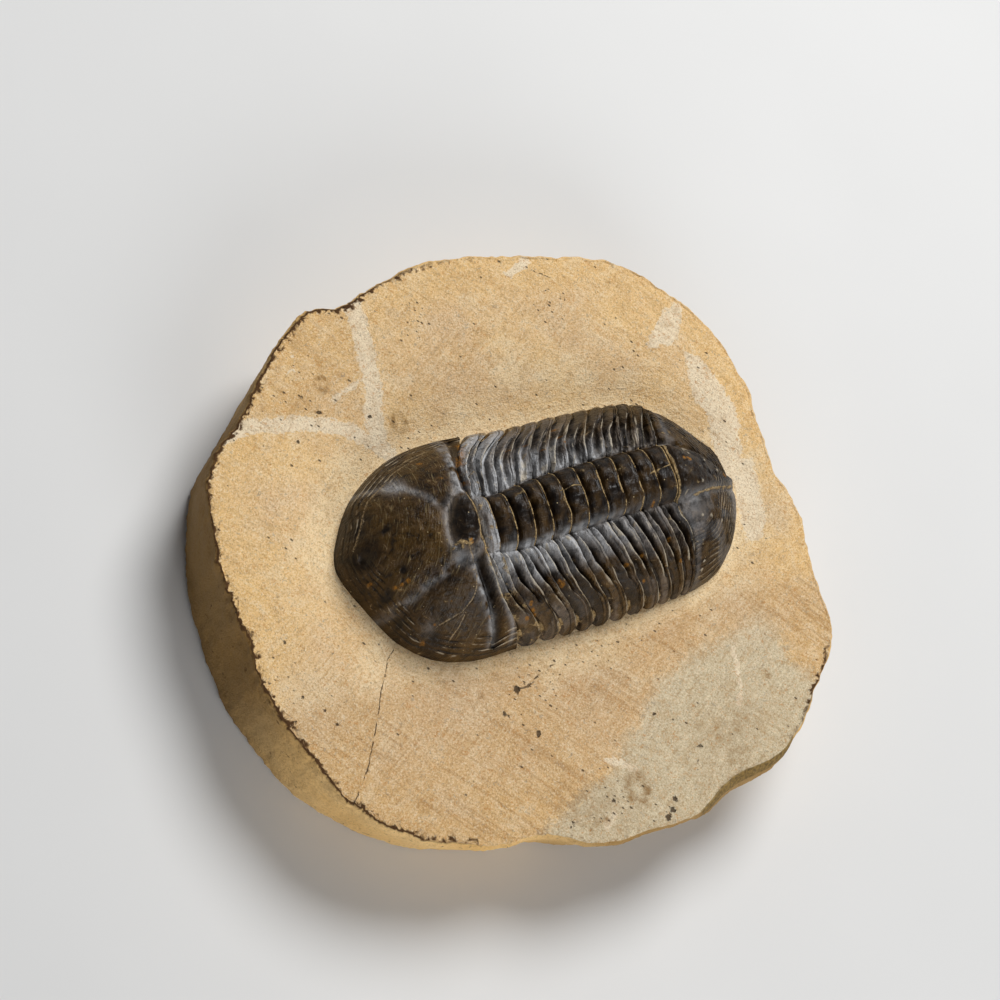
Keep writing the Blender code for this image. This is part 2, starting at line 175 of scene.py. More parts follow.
def inside_depth(points, x, y):
    """Distance in plan to a closed shape's edge, positive inside it."""
    corners = list(points) + [points[0]]
    inside = np.zeros(np.shape(x), bool)
    for (x0, y0), (x1, y1) in zip(corners, corners[1:]):
        if y0 != y1:
            crosses = (y0 > y) != (y1 > y)
            inside ^= crosses & (x < (x1 - x0) * (y - y0) / (y1 - y0) + x0)
    return np.abs(beside_path(corners, x, y)) * np.where(inside, 1, -1)


def nearest_of(paths, x, y):
    """Signed distance to the nearest of some paths, and that path's number."""
    best = np.full(np.shape(x), FAR_OFF)
    number = np.zeros(np.shape(x), int)
    for i, path in enumerate(paths):
        away = beside_path(path, x, y)
        nearer = np.abs(away) < np.abs(best)
        best = np.where(nearer, away, best)
        number = np.where(nearer, i, number)
    return best, number


def close_by(away):
    """1 on a thin line and 0 a millimetre off, where the sign of the distance may jump."""
    return smooth(1.1, 0.5, np.abs(away))


print("one millimetre left of a path:", float(beside_path([(0, 0), (9, 0)], np.array([4.0]), 1.0)[0]))

# %% [markdown]
# From those distances come soft shapes: a groove along a path, a round spot, a sum of spots or strokes,
# and the strongest of several spots. A furrow, a knob and a stain are each one of these, so the shapes
# are written once and the pieces below only list where theirs lie.

# %% Soft strokes and spots
def groove(path, x, y, half_width):
    """1 along a path, falling evenly to 0 beyond its half width."""
    return bell(beside_path(path, x, y), 0, half_width)


def blob(x, y, centre_x, centre_y, radius):
    """1 at a centre, falling evenly to 0 beyond its radius."""
    return np.exp(-((x - centre_x) ** 2 + (y - centre_y) ** 2) / radius ** 2)


def dots(x, y, spots, widen=1.0):
    """A sum of round spots, each a centre and a radius."""
    return sum(blob(x, y, spot_x, spot_y, widen * radius) for spot_x, spot_y, radius in spots)


def drawn(x, y, strokes=(), knobs=()):
    """A sum of soft strokes (path, half width, height) and round knobs (centre, radius, height)."""
    along = sum(height * groove(path, x, y, half) for path, half, height in strokes)
    return along + sum(height * blob(x, y, *knob) for *knob, height in knobs)


def strongest(x, y, spots):
    """The strongest of some round spots at each point, each a centre, a radius and a strength."""
    share = np.zeros(len(x))
    for spot_x, spot_y, radius, strength in spots:
        share = np.maximum(share, strength * blob(x, y, spot_x, spot_y, radius))
    return share


print("a groove's depth one half width off its path:", round(float(bell(1.0, 0, 1.0)), 2))

# %% [markdown]
# Stone is uneven at every size. A steady noise, made from whole-number points of space that each get a
# fixed value, gives the same bumps on every run, and each bump has a size in millimetres. Blender's own
# cloud texture would do too, but this one also shapes the joints and the marks that the finishes read.

# %% Steady noise in millimetres
MIXERS = (73856093, 19349663, 83492791, 49979693)
SCRAMBLE = 1274126177
OCTAVE_SHIFT = 17.3


def lattice_value(i, j, k, seed):
    """A fixed number from -1 to 1 for each whole-number point."""
    h = (i * MIXERS[0]) ^ (j * MIXERS[1]) ^ (k * MIXERS[2]) ^ (seed * MIXERS[3])
    h = (h ^ (h >> 13)) * SCRAMBLE
    h = h ^ (h >> 16)
    return (h & 0xFFFF) / 32767.5 - 1


def mottle(x, y, z=0.0, size=1.0, octaves=1, seed=1):
    """Soft bumps from about -1 to 1, that far apart in millimetres; each octave adds finer, weaker ones."""
    total, height, weight = 0.0, 0.0, 1.0
    x, y, z = np.broadcast_arrays(np.asarray(x, float), y, z)
    for octave in range(octaves):
        spots = [axis / size * 2 ** octave + OCTAVE_SHIFT * octave for axis in (x, y, z)]
        cells = [np.floor(axis).astype(np.int64) for axis in spots]
        parts = [axis - cell for axis, cell in zip(spots, cells)]
        fade = [t * t * t * (t * (t * 6 - 15) + 10) for t in parts]
        value = 0.0
        for corner in range(8):
            picks = [(corner >> bit) & 1 for bit in range(3)]
            share = 1.0
            for pick, t in zip(picks, fade):
                share = share * (t if pick else 1 - t)
            value = value + share * lattice_value(*(c + p for c, p in zip(cells, picks)), seed + octave)
        total = total + weight * value
        height += weight
        weight *= 0.5
    return total / height * 1.6


print("noise runs from", round(float(mottle(np.arange(5000.0), 0.3, size=3.7).min()), 2))

# %% [markdown]
# The shell's smooth form comes first: an outline in plan, a crest that runs from head to tail, and
# sections that say how the height falls from the middle line to the margin. The numbers are those of the
# solid model, so the finer surface lies where the solids are.

# %% The shell's smooth form
GAP = 0.35
FOSSIL_OUTLINE = [
    (0.7, 1.5), (2.7, 6.7), (6.6, 11.6), (13.4, 15.6), (21.1, 16.8), (31.0, 16.1), (41.0, 16.2), (49.4, 16.0),
    (54.5, 14.8), (60.7, 9.6), (65.2, 3.6), (66.2, -1.5), (65.1, -6.0), (62.0, -10.8), (56.9, -14.2),
    (47.7, -15.6), (36.6, -16.2), (24.0, -16.2), (17.6, -16.4), (11.5, -15.0), (6.7, -11.4), (3.1, -5.2),
]
OUTLINE = closed_curve(FOSSIL_OUTLINE)
BED_LEVEL, MARGIN_LEVEL, MARGIN_ROLL = 13.6, 15.9, 0.03
HEAD_CENTRE, TAIL_CENTRE = 20.0, 51.0
CREST = [(18, 15.6), (30, 16.0), (42, 15.2), (51, 13.0)]
HEAD_SECTION = [(0, 1.0), (0.3, 0.95), (0.5, 0.84), (0.7, 0.64), (0.85, 0.4), (1, 0.04)]
FRONT_SECTION = [(0, 1.0), (0.37, 0.88), (0.68, 0.61), (0.895, 0.31), (1, 0.04)]
THORAX_SECTION = [
    (0, 1.0), (0.13, 0.975), (0.24, 0.89), (0.28, 0.81), (0.34, 0.82), (0.5, 0.77), (0.66, 0.66), (0.8, 0.47),
    (0.9, 0.29), (1, 0.04),
]
FURROW_SHARE = 0.28
AXIS_NEAR = [(18, -4.4), (25, -4.9), (31, -4.5), (37, -4.1), (43, -3.6), (51, -3.1)]
AXIS_FAR = [(18, 4.3), (22, 3.9), (26, 4.5), (31, 5.0), (38, 5.4), (44, 5.7), (51, 5.9)]
TAIL_SECTION = [(0, 1.0), (0.2, 0.93), (0.5, 0.69), (0.75, 0.43), (0.9, 0.22), (1, 0.04)]
print("points in the fossil's outline:", len(FOSSIL_OUTLINE), "and on the curve:", len(OUTLINE))

# %% [markdown]
# A point's height depends on how far out it lies between the middle line and the margin. In the head and
# the tail that share is counted in rings round a centre, so that the section turns round the end as it
# does on the real shell, and over the body it is counted straight across.

# %% The height of the smooth shell
def half_width(x, side):
    """Distance from the middle line to the margin, on the side that the sign of side gives."""
    right = OUTLINE[OUTLINE[:, 1] >= 0]
    left = OUTLINE[OUTLINE[:, 1] < 0]
    to_right = np.interp(x, *sorted_pair(right[:, 0], right[:, 1]))
    to_left = np.interp(x, *sorted_pair(left[:, 0], -left[:, 1]))
    return np.where(side >= 0, to_right, to_left)


def reach_from(centre, x, y):
    """How far the margin is from a centre on the middle line, in each point's direction."""
    return reach_by_angle(OUTLINE, (centre, 0), np.arctan2(y, x - centre))


def outwardness(x, y):
    """0 on the middle line and 1 on the margin, and rings round a centre in the head and the tail."""
    in_head, in_tail = (np.hypot(x - centre, y) / reach_from(centre, x, y)
                        for centre in (HEAD_CENTRE, TAIL_CENTRE))
    between = np.abs(y) / half_width(x, y)
    share = np.where(x < HEAD_CENTRE, in_head, np.where(x > TAIL_CENTRE, in_tail, between))
    return np.clip(share, 0, 1)


def section_share(x, y, share):
    """The same share, bent so that the section's furrow lies where the rings really end."""
    end = np.where(y >= 0, through(AXIS_FAR, x), -through(AXIS_NEAR, x)) / half_width(x, y)
    beyond = FURROW_SHARE + (share - end) * (1 - FURROW_SHARE) / (1 - end)
    return np.where(share < end, share * FURROW_SHARE / end, beyond)


def shell_level(x, y):
    """Height of the smooth shell, before its relief."""
    share = outwardness(x, y)
    centre = np.clip(x, HEAD_CENTRE, TAIL_CENTRE)
    endways = np.cos(np.arctan2(y, x - centre)) ** 2 * (x != centre)
    end = np.where(x < HEAD_CENTRE, through(FRONT_SECTION, share), through(TAIL_SECTION, share))
    ringed = smooth(15, 23, x)
    thorax = through(THORAX_SECTION, section_share(x, y, share))
    across = through(HEAD_SECTION, share) * (1 - ringed) + thorax * ringed
    return MARGIN_LEVEL + MARGIN_ROLL * y + through(CREST, x) * (end * endways + across * (1 - endways))


print("crest over the thorax, mm:", round(float(shell_level(np.array([30.0]), np.array([0.0]))[0]), 2))

# %% [markdown]
# Twelve joints cut the shell into a head, eleven body segments and a tail. Each joint crosses the axis
# nearly square and sweeps back towards the margin, a little more on the right flank, while on the left one
# the rear joints lie a millimetre further back, where the slab was squeezed. A trace of noise makes each
# joint wander by a tenth of a millimetre, because real plates are never cut to a template.

# %% The joints
SEGMENTS = 11
JOINT_ON_AXIS = [(0, 18.0), (1, 20.1), (2, 23.1), (5, 31.7), (8, 41.2), (11, 51.0)]
JOINT_AT_MARGIN = [(0, 24.5), (1, 28.2), (2, 31.3), (5, 39.7), (8, 48.0), (11, 54.0)]
JOINT_SWEEP = [(0, 0), (0.28, 0.04), (0.42, 0.1), (0.55, 0.19), (0.7, 0.41), (0.85, 0.74), (1, 1)]
JOINT_SKEW = 0.8
LEFT_LAG = [(0, 0.0), (1, -0.3), (2, 0.0), (4, 0.1), (5, 0.4), (6, 0.8), (8, 1.2), (11, 1.2)]
LEFT_BULGE = [(0, 0), (0.28, 0.1), (0.45, 0.75), (0.6, 1.0), (0.8, 0.8), (1, 0.3)]
JOINT_WANDER = 0.12
SEAM = 0.04


def joint_line(number, v, shift=0.0):
    """Where joint number crosses lateral share v (-1 the left margin, 1 the right)."""
    on_axis = through(JOINT_ON_AXIS, number)
    at_margin = through(JOINT_AT_MARGIN, number)
    sweep = through(JOINT_SWEEP, np.abs(v))
    x = on_axis + (at_margin - on_axis + JOINT_SKEW * np.sign(v)) * sweep + shift
    x = x + through(LEFT_LAG, number) * through(LEFT_BULGE, np.abs(v)) * (v < 0)
    x = x + JOINT_WANDER * mottle(v * 16, number * 7.7, size=2.6, octaves=2, seed=31)
    return x, v * half_width(x, v)


def margin_round(centre, number, clear, v):
    """The free margin of the head or the tail, from one corner round the end to the other."""
    left_x, left_y = joint_line(number, np.array([-1.0]), clear)
    right_x, right_y = joint_line(number, np.array([1.0]), clear)
    start = math.atan2(left_y[0], left_x[0] - centre)
    end = math.atan2(right_y[0], right_x[0] - centre)
    if centre > left_x[0] or clear < 0:
        start += 2 * math.pi
    angle = start + (end - start) * (v + 1) / 2
    reach = reach_by_angle(OUTLINE, (centre, 0), angle)
    return centre + reach * np.cos(angle), reach * np.sin(angle)


def between(front, rear, u):
    return tuple(a + (b - a) * u for a, b in zip(front, rear))


for number in (0, 5, 11):
    print("joint", number, "on the axis, mm:", round(float(joint_line(number, np.array([0.0]))[0][0]), 1))

# %% [markdown]
# A piece of shell starts as a flat grid primitive. Its points are laid on the form by a function that says
# where each point of the grid belongs, then the rim is extruded down into the bed, flattened there and
# filled, so the piece is one closed solid. Sculpting the same relief by hand would take days and could
# not be measured. The same function gives each point its marks, numbers from 0 to 1 that the finish
# reads: where rock is left on the shell, where it is hazy, and so on.

# %% From a flat grid to a piece of shell
def only(thing):
    bpy.ops.object.select_all(action="DESELECT")
    thing.select_set(True)
    bpy.context.view_layer.objects.active = thing


def add_grid(name, columns, rows):
    """A flat grid primitive two units wide, and its points as shares u (0 to 1) and v (-1 to 1)."""
    bpy.ops.object.select_all(action="DESELECT")
    bpy.ops.mesh.primitive_grid_add(x_subdivisions=columns, y_subdivisions=rows, size=2.0)
    piece = bpy.context.object
    piece.name = piece.data.name = name
    flat = np.empty(len(piece.data.vertices) * 3)
    piece.data.vertices.foreach_get("co", flat)
    flat = flat.reshape(-1, 3)
    return piece, (flat[:, 1] + 1) / 2, flat[:, 0]


def set_points(piece, points, marks):
    """Moves the piece's points, given in plan millimetres, and stores its marks, numbers or vectors."""
    piece.data.vertices.foreach_set("co", to_scene(points).ravel())
    for key, values in marks.items():
        if np.ndim(values) == 2:
            mark = piece.data.attributes.new(key, "FLOAT_VECTOR", "POINT")
            mark.data.foreach_set("vector", values.astype(np.float32).ravel())
        else:
            mark = piece.data.attributes.new(key, "FLOAT", "POINT")
            mark.data.foreach_set("value", np.broadcast_to(values, len(points)).astype(np.float32))
    piece.data.update()


print("pieces of shell to model:", SEGMENTS + 2)

# %% [markdown]
# The open rim is extruded down, scaled flat at the bed's level and filled, which is how a sheet becomes a
# closed solid by hand. A scale of nought in one direction flattens a selection exactly, wherever it was.

# %% Rooting a piece in its bed
def rooted_in_bed(piece):
    """Extrudes the rim down to the bed and fills it, so that the piece is a closed solid."""
    foot = (BED_LEVEL + GAP) * MM
    only(piece)
    bpy.ops.object.mode_set(mode="EDIT")
    bpy.ops.mesh.select_mode(type="EDGE")
    bpy.ops.mesh.select_all(action="DESELECT")
    bpy.ops.mesh.select_non_manifold()
    bpy.ops.mesh.extrude_region_move(TRANSFORM_OT_translate={"value": (0.0, 0.0, -2 * MM)})
    bpy.ops.transform.resize(value=(1.0, 1.0, 0.0), center_override=(0.0, 0.0, foot))
    bpy.ops.mesh.edge_face_add()
    bpy.ops.mesh.select_all(action="SELECT")
    bpy.ops.mesh.normals_make_consistent(inside=False)
    bpy.ops.object.mode_set(mode="OBJECT")
    bpy.ops.object.shade_smooth_by_angle(angle=math.radians(55))


def shell_piece(node, columns, rows, place):
    """Models one piece of shell and lets it stand for its solid."""
    piece, u, v = add_grid(node + "_shell", columns, rows)
    x, y, z, marks = place(u, v)
    set_points(piece, np.stack([x, y, z], axis=1), marks)
    rooted_in_bed(piece)
    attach(piece, "root")
    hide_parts(node)
    print(piece.name, len(piece.data.polygons), "faces")
    return piece


# %% [markdown]
# The margins of the head and the tail carry terrace lines, fine ridges that follow the edge about a third
# of a millimetre apart. They are too fine for the picture at that spacing, so they are drawn 0.55 mm
# apart. Orange iron stains are left in the hollows, and their places are sketched once, as small discs
# that noise makes ragged.

# %% Terrace lines and iron stains
TERRACE_SPACING, TERRACE_HEIGHT = 0.55, 0.16
OCHRE_SPOTS = [
    (24.3, -12.0, 0.2), (24.8, -12.8, 0.28), (25.2, -13.4, 0.24), (23.9, -13.5, 0.24), (28.8, -10.3, 0.22),
    (29.3, -10.8, 0.3), (36.7, 12.1, 0.32), (36.4, 10.4, 0.22), (36.3, 8.9, 0.26), (46.4, -3.1, 0.24),
    (27.6, 10.1, 0.18), (30.7, 10.3, 0.16), (32.5, 8.7, 0.16), (14.7, 11.9, 0.2), (15.6, 8.1, 0.18),
    (6.1, -4.5, 0.22), (7.4, -4.2, 0.26), (6.8, -4.4, 0.2), (3.5, -2.6, 0.16), (9.0, -12.4, 0.2),
    (15.9, -2.3, 0.3), (54.2, 2.2, 0.26), (53.4, 2.4, 0.2), (62.3, -0.3, 0.22), (64.3, 0.6, 0.22),
    (48.3, -8.2, 0.24), (45.2, -9.4, 0.24), (40.3, -10.3, 0.18), (50.3, -11.3, 0.2), (43.7, -12.6, 0.2),
    (10.2, -10.9, 0.14), (12.2, -9.0, 0.14), (47.0, -6.6, 0.24), (43.0, -9.6, 0.2), (17.6, -12.3, 0.26),
]
OCHRE_STREAK = [(22.6, 13.6), (20.9, 11.2), (19.4, 9.2), (18.8, 7.2), (18.6, 5.6)]


def terraces(x, y, inland, reach):
    """Fine ridges along a margin; inland is the distance from the edge in millimetres."""
    phase = inland / TERRACE_SPACING + 0.6 * mottle(x, y, size=5.0, octaves=2, seed=5)
    saw = phase - np.floor(phase)
    ridge = np.minimum(saw / 0.7, (1 - saw) / 0.3)
    ends = 1 - smooth(0.6 * reach, reach, inland + 0.6 * mottle(x, y, size=2.2, seed=8))
    return (ridge - 0.5) * smooth(0.1, 0.5, inland) * ends * (0.9 + 0.3 * mottle(x, y, size=2.5, seed=6))


def ochre_at(x, y):
    """How much iron stain each point carries."""
    ragged = 0.5 * mottle(x, y, size=0.4, octaves=2, seed=12)
    broken = smooth(-0.3, 0.5, mottle(x, y, size=0.8, octaves=2, seed=13))
    stain = groove(OCHRE_STREAK, x, y, 0.42) * broken
    for spot_x, spot_y, radius in OCHRE_SPOTS:
        away = np.hypot((x - spot_x) * 0.8 + (y - spot_y) * 0.35, (y - spot_y) * 0.85)
        stain = np.maximum(stain, 1 - smooth(0.5, 1.3, away / radius + ragged))
    return stain


print("iron stains on the shell:", len(OCHRE_SPOTS) + 1)

# %% [markdown]
# The head shield is a low dome with a swollen middle, the glabella, between two furrows that meet at the
# eyes. Behind it the occipital lobe bulges dark and smooth, and a deep furrow sets off the rear border on
# each side. Facial sutures, the seams along which the animal moulted, show as thin pale lines. Each is a
# drawn path here, pressed into or raised from the dome.

# %% The head's furrows, ridges and seams
GLABELLA_FAR = [
    (6.1, 11.4), (8.4, 10.5), (11.1, 8.7), (12.1, 7.2), (13.0, 5.8), (13.8, 4.4), (14.2, 2.8), (14.1, -0.4),
]
GLABELLA_NEAR = [(4.0, -7.3), (6.9, -7.1), (9.3, -6.0), (12.0, -5.0), (13.6, -4.2)]
BORDER_NEAR = [(16.6, -4.9), (17.2, -7.4), (17.9, -9.9), (18.6, -12.0), (19.3, -13.8), (19.6, -15.2)]
BORDER_FAR = [(18.3, 6.2), (18.7, 8.2), (19.6, 10.4), (21.2, 12.9), (22.4, 15.0)]
RIDGE_NEAR = [(17.8, -5.0), (18.3, -7.2), (19.2, -9.6), (20.3, -11.8), (21.4, -13.6), (22.0, -15.2)]
RIDGE_FAR = [(17.2, 5.2), (17.4, 6.9), (17.9, 8.9), (19.0, 12.0), (20.6, 15.2)]
BLOOM_NEAR = [(15.9, -5.6), (16.2, -7.2), (16.7, -9.0), (17.4, -11.0), (18.1, -12.8), (18.8, -14.6)]
SUTURES = [
    [(16.4, 13.4), (14.2, 12.9), (12.3, 12.3), (11.0, 11.8), (9.5, 10.7), (8.3, 10.0), (6.7, 9.1),
     (5.7, 7.8), (4.7, 6.0), (3.6, 4.3), (2.7, 2.9)],
    [(15.6, -2.9), (15.9, -3.8), (16.0, -5.2), (15.9, -7.0), (15.6, -8.5), (14.9, -9.7), (13.5, -10.7),
     (10.8, -11.2)],
    [(13.9, -11.2), (13.1, -12.4), (12.3, -13.3)],
    [(17.4, 13.9), (15.2, 13.7), (13.4, 13.2), (11.6, 12.9)],
]
LOBE_MIDDLE, LOBE_ALONG, LOBE_HALF = (16.5, 0.9), (0.29, 0.957), (2.1, 4.3)
CRYSTALS = [
    (13.9, -2.1, 0.5), (14.5, -2.0, 0.42), (15.0, -2.3, 0.45), (13.4, -2.6, 0.36), (14.4, -2.8, 0.32),
    (15.8, -2.3, 0.55),
]
SMUDGES = [
    (4.6, 7.2, 1.3), (3.7, 4.8, 1.2), (5.7, 6.9, 0.8), (4.6, 2.3, 1.2), (7.0, -2.8, 1.4), (1.9, 2.2, 1.0),
    (6.6, 3.4, 0.9), (8.6, 6.1, 0.8), (10.2, -12.6, 1.0), (6.2, -9.2, 1.1), (5.0, -4.8, 1.0),
]


def lobe_share(x, y):
    """0 at the middle of the occipital lobe and 1 on its edge."""
    dx, dy = x - LOBE_MIDDLE[0], y - LOBE_MIDDLE[1]
    long_way = (dx * LOBE_ALONG[0] + dy * LOBE_ALONG[1]) / LOBE_HALF[1]
    short_way = (dx * LOBE_ALONG[1] - dy * LOBE_ALONG[0]) / LOBE_HALF[0]
    return np.sqrt(long_way ** 2 + short_way ** 2)


def pitted(x, y):
    """Small bumps and pits of the worn shell."""
    bumps = 0.05 * mottle(x, y, size=1.1, octaves=2, seed=4)
    bumps = bumps + 0.03 * mottle(x, y, size=0.45, octaves=2, seed=9)
    return bumps - 0.10 * smooth(0.55, 0.9, mottle(x, y, size=0.9, seed=10))


print("seams across the head:", len(SUTURES))

# %% [markdown]
# The height of the head's detail is a sum: furrows take away, ridges and the eye's knob add. At its free
# margin the shell turns down, and its edge dips under the surface of the rock.

# %% The head's relief
HEAD_LENGTH = 17
HEAD_STROKES = [(GLABELLA_FAR, 1.2, -0.42), (GLABELLA_NEAR, 1.2, -0.45), (BORDER_NEAR, 0.72, -1.9),
                (BORDER_FAR, 0.75, -1.3), (RIDGE_NEAR, 0.8, 0.55), (RIDGE_FAR, 0.5, 0.45)]
HEAD_KNOBS = [
    (14.4, -2.9, 0.95, 1.3), (14.3, -4.4, 0.6, -0.5), (14.5, 4.5, 0.9, -0.85), (3.3, 0.9, 0.7, -1.1),
    (9.6, -10.8, 1.0, -0.3),
]
# Painted shade: dark along the rear border furrows, in the pits at the front and by the eyes, and a broad
# darker patch over the near cheek.
PAINTED_SHADE_STROKES = [(BORDER_NEAR, 0.8, 0.95), (BORDER_FAR, 0.6, 0.9)]
DARK_AND_PAINTED_SHADE_KNOBS = [(3.3, 0.9, 1.0, 1.3), (14.4, -4.0, 0.7, 0.9), (14.5, 4.5, 0.7, 0.8), (12.0, -9.5, 5.0, 0.55)]


def head_relief(x, y):
    lobe = lobe_share(x, y)
    relief = drawn(x, y, HEAD_STROKES, HEAD_KNOBS) + 0.25 * dots(x, y, CRYSTALS)
    relief += 0.9 * (1 - smooth(0.25, 1.05, lobe)) - 0.5 * bell(lobe, 1.12, 0.14)
    relief -= 0.13 * bell(nearest_of(SUTURES, x, y)[0], 0, 0.16)
    return relief + 0.13 * mottle(x, y, size=3.5, octaves=2, seed=3) + pitted(x, y)


def edge_roll(share):
    """The shell turns down at its free margin and dips under the rock's surface."""
    return -1.1 * smooth(0.955, 1.0, share) ** 2


in_furrow = head_relief(np.array([17.9]), np.array([-9.9]))
print("relief in the near border furrow, mm:", round(float(in_furrow[0]), 1))

# %% [markdown]
# The marks go with the height: furrows, pits and the troughs of the terrace lines are painted dark as painted
# shade, the occipital lobe is dark shell, and what was rubbed by the brush is hazy. Rock flour lies beside
# the glabella and along the rear border, and crumbs of rock sit by the near eye.

# %% The head shield
def head_haze(x, y, lobe):
    """Rock flour in the furrows beside the glabella and along the rear border."""
    far_share = 0.85 + 0.4 * mottle(x, y, size=2.0, octaves=2, seed=15)
    near_share = 0.6 + 0.9 * mottle(x, y, size=1.2, octaves=3, seed=18)
    bloom = 0.45 + 0.7 * mottle(x, y, size=0.9, octaves=3, seed=17)
    haze = 0.45 * groove(GLABELLA_FAR, x, y, 0.5) * smooth(14.4, 12.8, x) * far_share
    haze += 0.36 * groove(GLABELLA_NEAR, x, y, 0.55) * near_share
    haze += (0.9 * groove(BLOOM_NEAR, x, y, 0.7) + 0.8 * groove(RIDGE_FAR, x, y, 0.75)) * bloom
    haze += drawn(x, y, [(RIDGE_NEAR, 0.4, 0.35)], [(9.6, -11, 0.8, 0.15), (10.2, 9.6, 1.2, 0.5)])
    return haze + 0.28 * bell(lobe, 1.25, 0.25)


def place_head(u, v):
    x, y = between(margin_round(HEAD_CENTRE, 0, -SEAM - 0.8, v), joint_line(0, v, -SEAM), u)
    share = outwardness(x, y)
    inland = (1 - share) * reach_from(HEAD_CENTRE, x, y)
    to_joint = (1 - u) * HEAD_LENGTH
    lines = terraces(x, y, inland, 3.0)
    z = shell_level(x, y) + head_relief(x, y) * smooth(1.0, 0.93, share) + TERRACE_HEIGHT * lines
    z += edge_roll(share) * smooth(0, 0.06, 1 - u)
    z -= 0.35 * bell(to_joint, 0, 0.5) * (1 - smooth(0.85, 1.0, share))
    seam = nearest_of(SUTURES, x, y)[0]
    lobe = lobe_share(x, y)
    # Pale on the crests of the terrace lines and along the near rear edge: partly wear, partly painted
    # highlight.
    wear_and_painted_highlight = smooth(0.10, 0.40, lines) * (0.40 + 0.7 * mottle(x, y, size=1.6, octaves=2, seed=16))
    wear_and_painted_highlight += 0.8 * smooth(0.6, 0.2, to_joint) * (y < -4.5)
    crumbs = strongest(x, y, [(spot_x, spot_y, 0.8 * radius, 0.9) for spot_x, spot_y, radius in CRYSTALS])
    rock = np.maximum(smooth(0.45, 0.2, to_joint) * (0.25 + 0.6 * (np.abs(y) < 5)), crumbs)
    # Dark: the lobe's own dark shell and smudges, plus painted shade in the furrows, the pits, the troughs of
    # the terrace lines and over the head's front.
    dark_and_painted_shade = 0.95 * (1 - smooth(0.75, 1.05, lobe)) + drawn(x, y, PAINTED_SHADE_STROKES, DARK_AND_PAINTED_SHADE_KNOBS)
    dark_and_painted_shade += 0.5 * dots(x, y, SMUDGES) * (1 + mottle(x, y, size=0.9, octaves=2, seed=14))
    dark_and_painted_shade = np.clip(dark_and_painted_shade + 0.85 * smooth(-0.1, -0.4, lines) + 0.45 * smooth(9, 2, x), 0, 1)
    return x, y, z, {
        "rock": rock, "haze": head_haze(x, y, lobe), "wear_and_painted_highlight": wear_and_painted_highlight, "dark_and_painted_shade": dark_and_painted_shade, "ochre": ochre_at(x, y),
        "seam": seam, "seam_near": close_by(seam), "scratched": smooth(0.5, 3.0, inland) * (1 - dark_and_painted_shade)}


head = shell_piece("cephalon", 340, 150, place_head)

# %% [markdown]
# A body segment is a ring over the axis with a side plate, a pleura, on each flank. The ring rises to its
# rear edge and overlaps the next one, like a roof tile. Each pleura has a sharp front ridge, a deep
# furrow and a rounded rear band. The front ridge leaves the joint slantwise and ends two thirds of the way
# out, and beyond it a smooth tongue reaches the margin. Profiles from the front joint to the rear one say
# all that in a few numbers, so one function makes all eleven segments, and noise keeps them unlike.

# %% Profiles of a segment
RING_PROFILE = [
    (0, -0.85), (0.08, -0.7), (0.2, -0.15), (0.4, 0.14), (0.7, 0.16), (0.8, 0.32), (0.93, 0.3), (0.965, 0.0),
    (1, -0.8),
]
PLEURA_PROFILE = [
    (0, -0.85), (0.04, -0.7), (0.09, -0.15), (0.13, 0.28), (0.17, 0.3), (0.22, -0.2), (0.3, -1.05),
    (0.42, -1.55), (0.52, -1.3), (0.62, -0.45), (0.7, 0.08), (0.8, 0.25), (0.9, 0.38), (0.94, 0.3),
    (0.97, -0.15), (1, -0.85),
]
TONGUE_PROFILE = [(0, -0.45), (0.08, -0.28), (0.3, -0.04), (0.6, 0.1), (0.86, 0.26), (0.94, 0.16), (1, -0.45)]
FRONT_RIDGE = [
    (0.22, 0.13), (0.3, 0.16), (0.38, 0.22), (0.45, 0.26), (0.54, 0.33), (0.65, 0.46), (0.75, 0.56),
    (0.9, 0.62),
]
KNOB_LINE = [(18, 0.2), (22, 0.4), (27, 0.6), (33, 1.0), (40, 1.6), (47, 2.1), (51, 2.5)]
VEINS = [[(31.0, 1.3), (32.2, 1.5), (33.4, 1.7), (34.6, 1.4)], [(46.6, 1.0), (48.2, 1.4), (51.2, 1.9)]]
NO_SEAM = {"seam": FAR_OFF, "seam_near": 0.0}


def from_axis(x, y):
    """Distance outside the axis, negative over it."""
    return np.maximum(through(AXIS_NEAR, x) - y, y - through(AXIS_FAR, x))


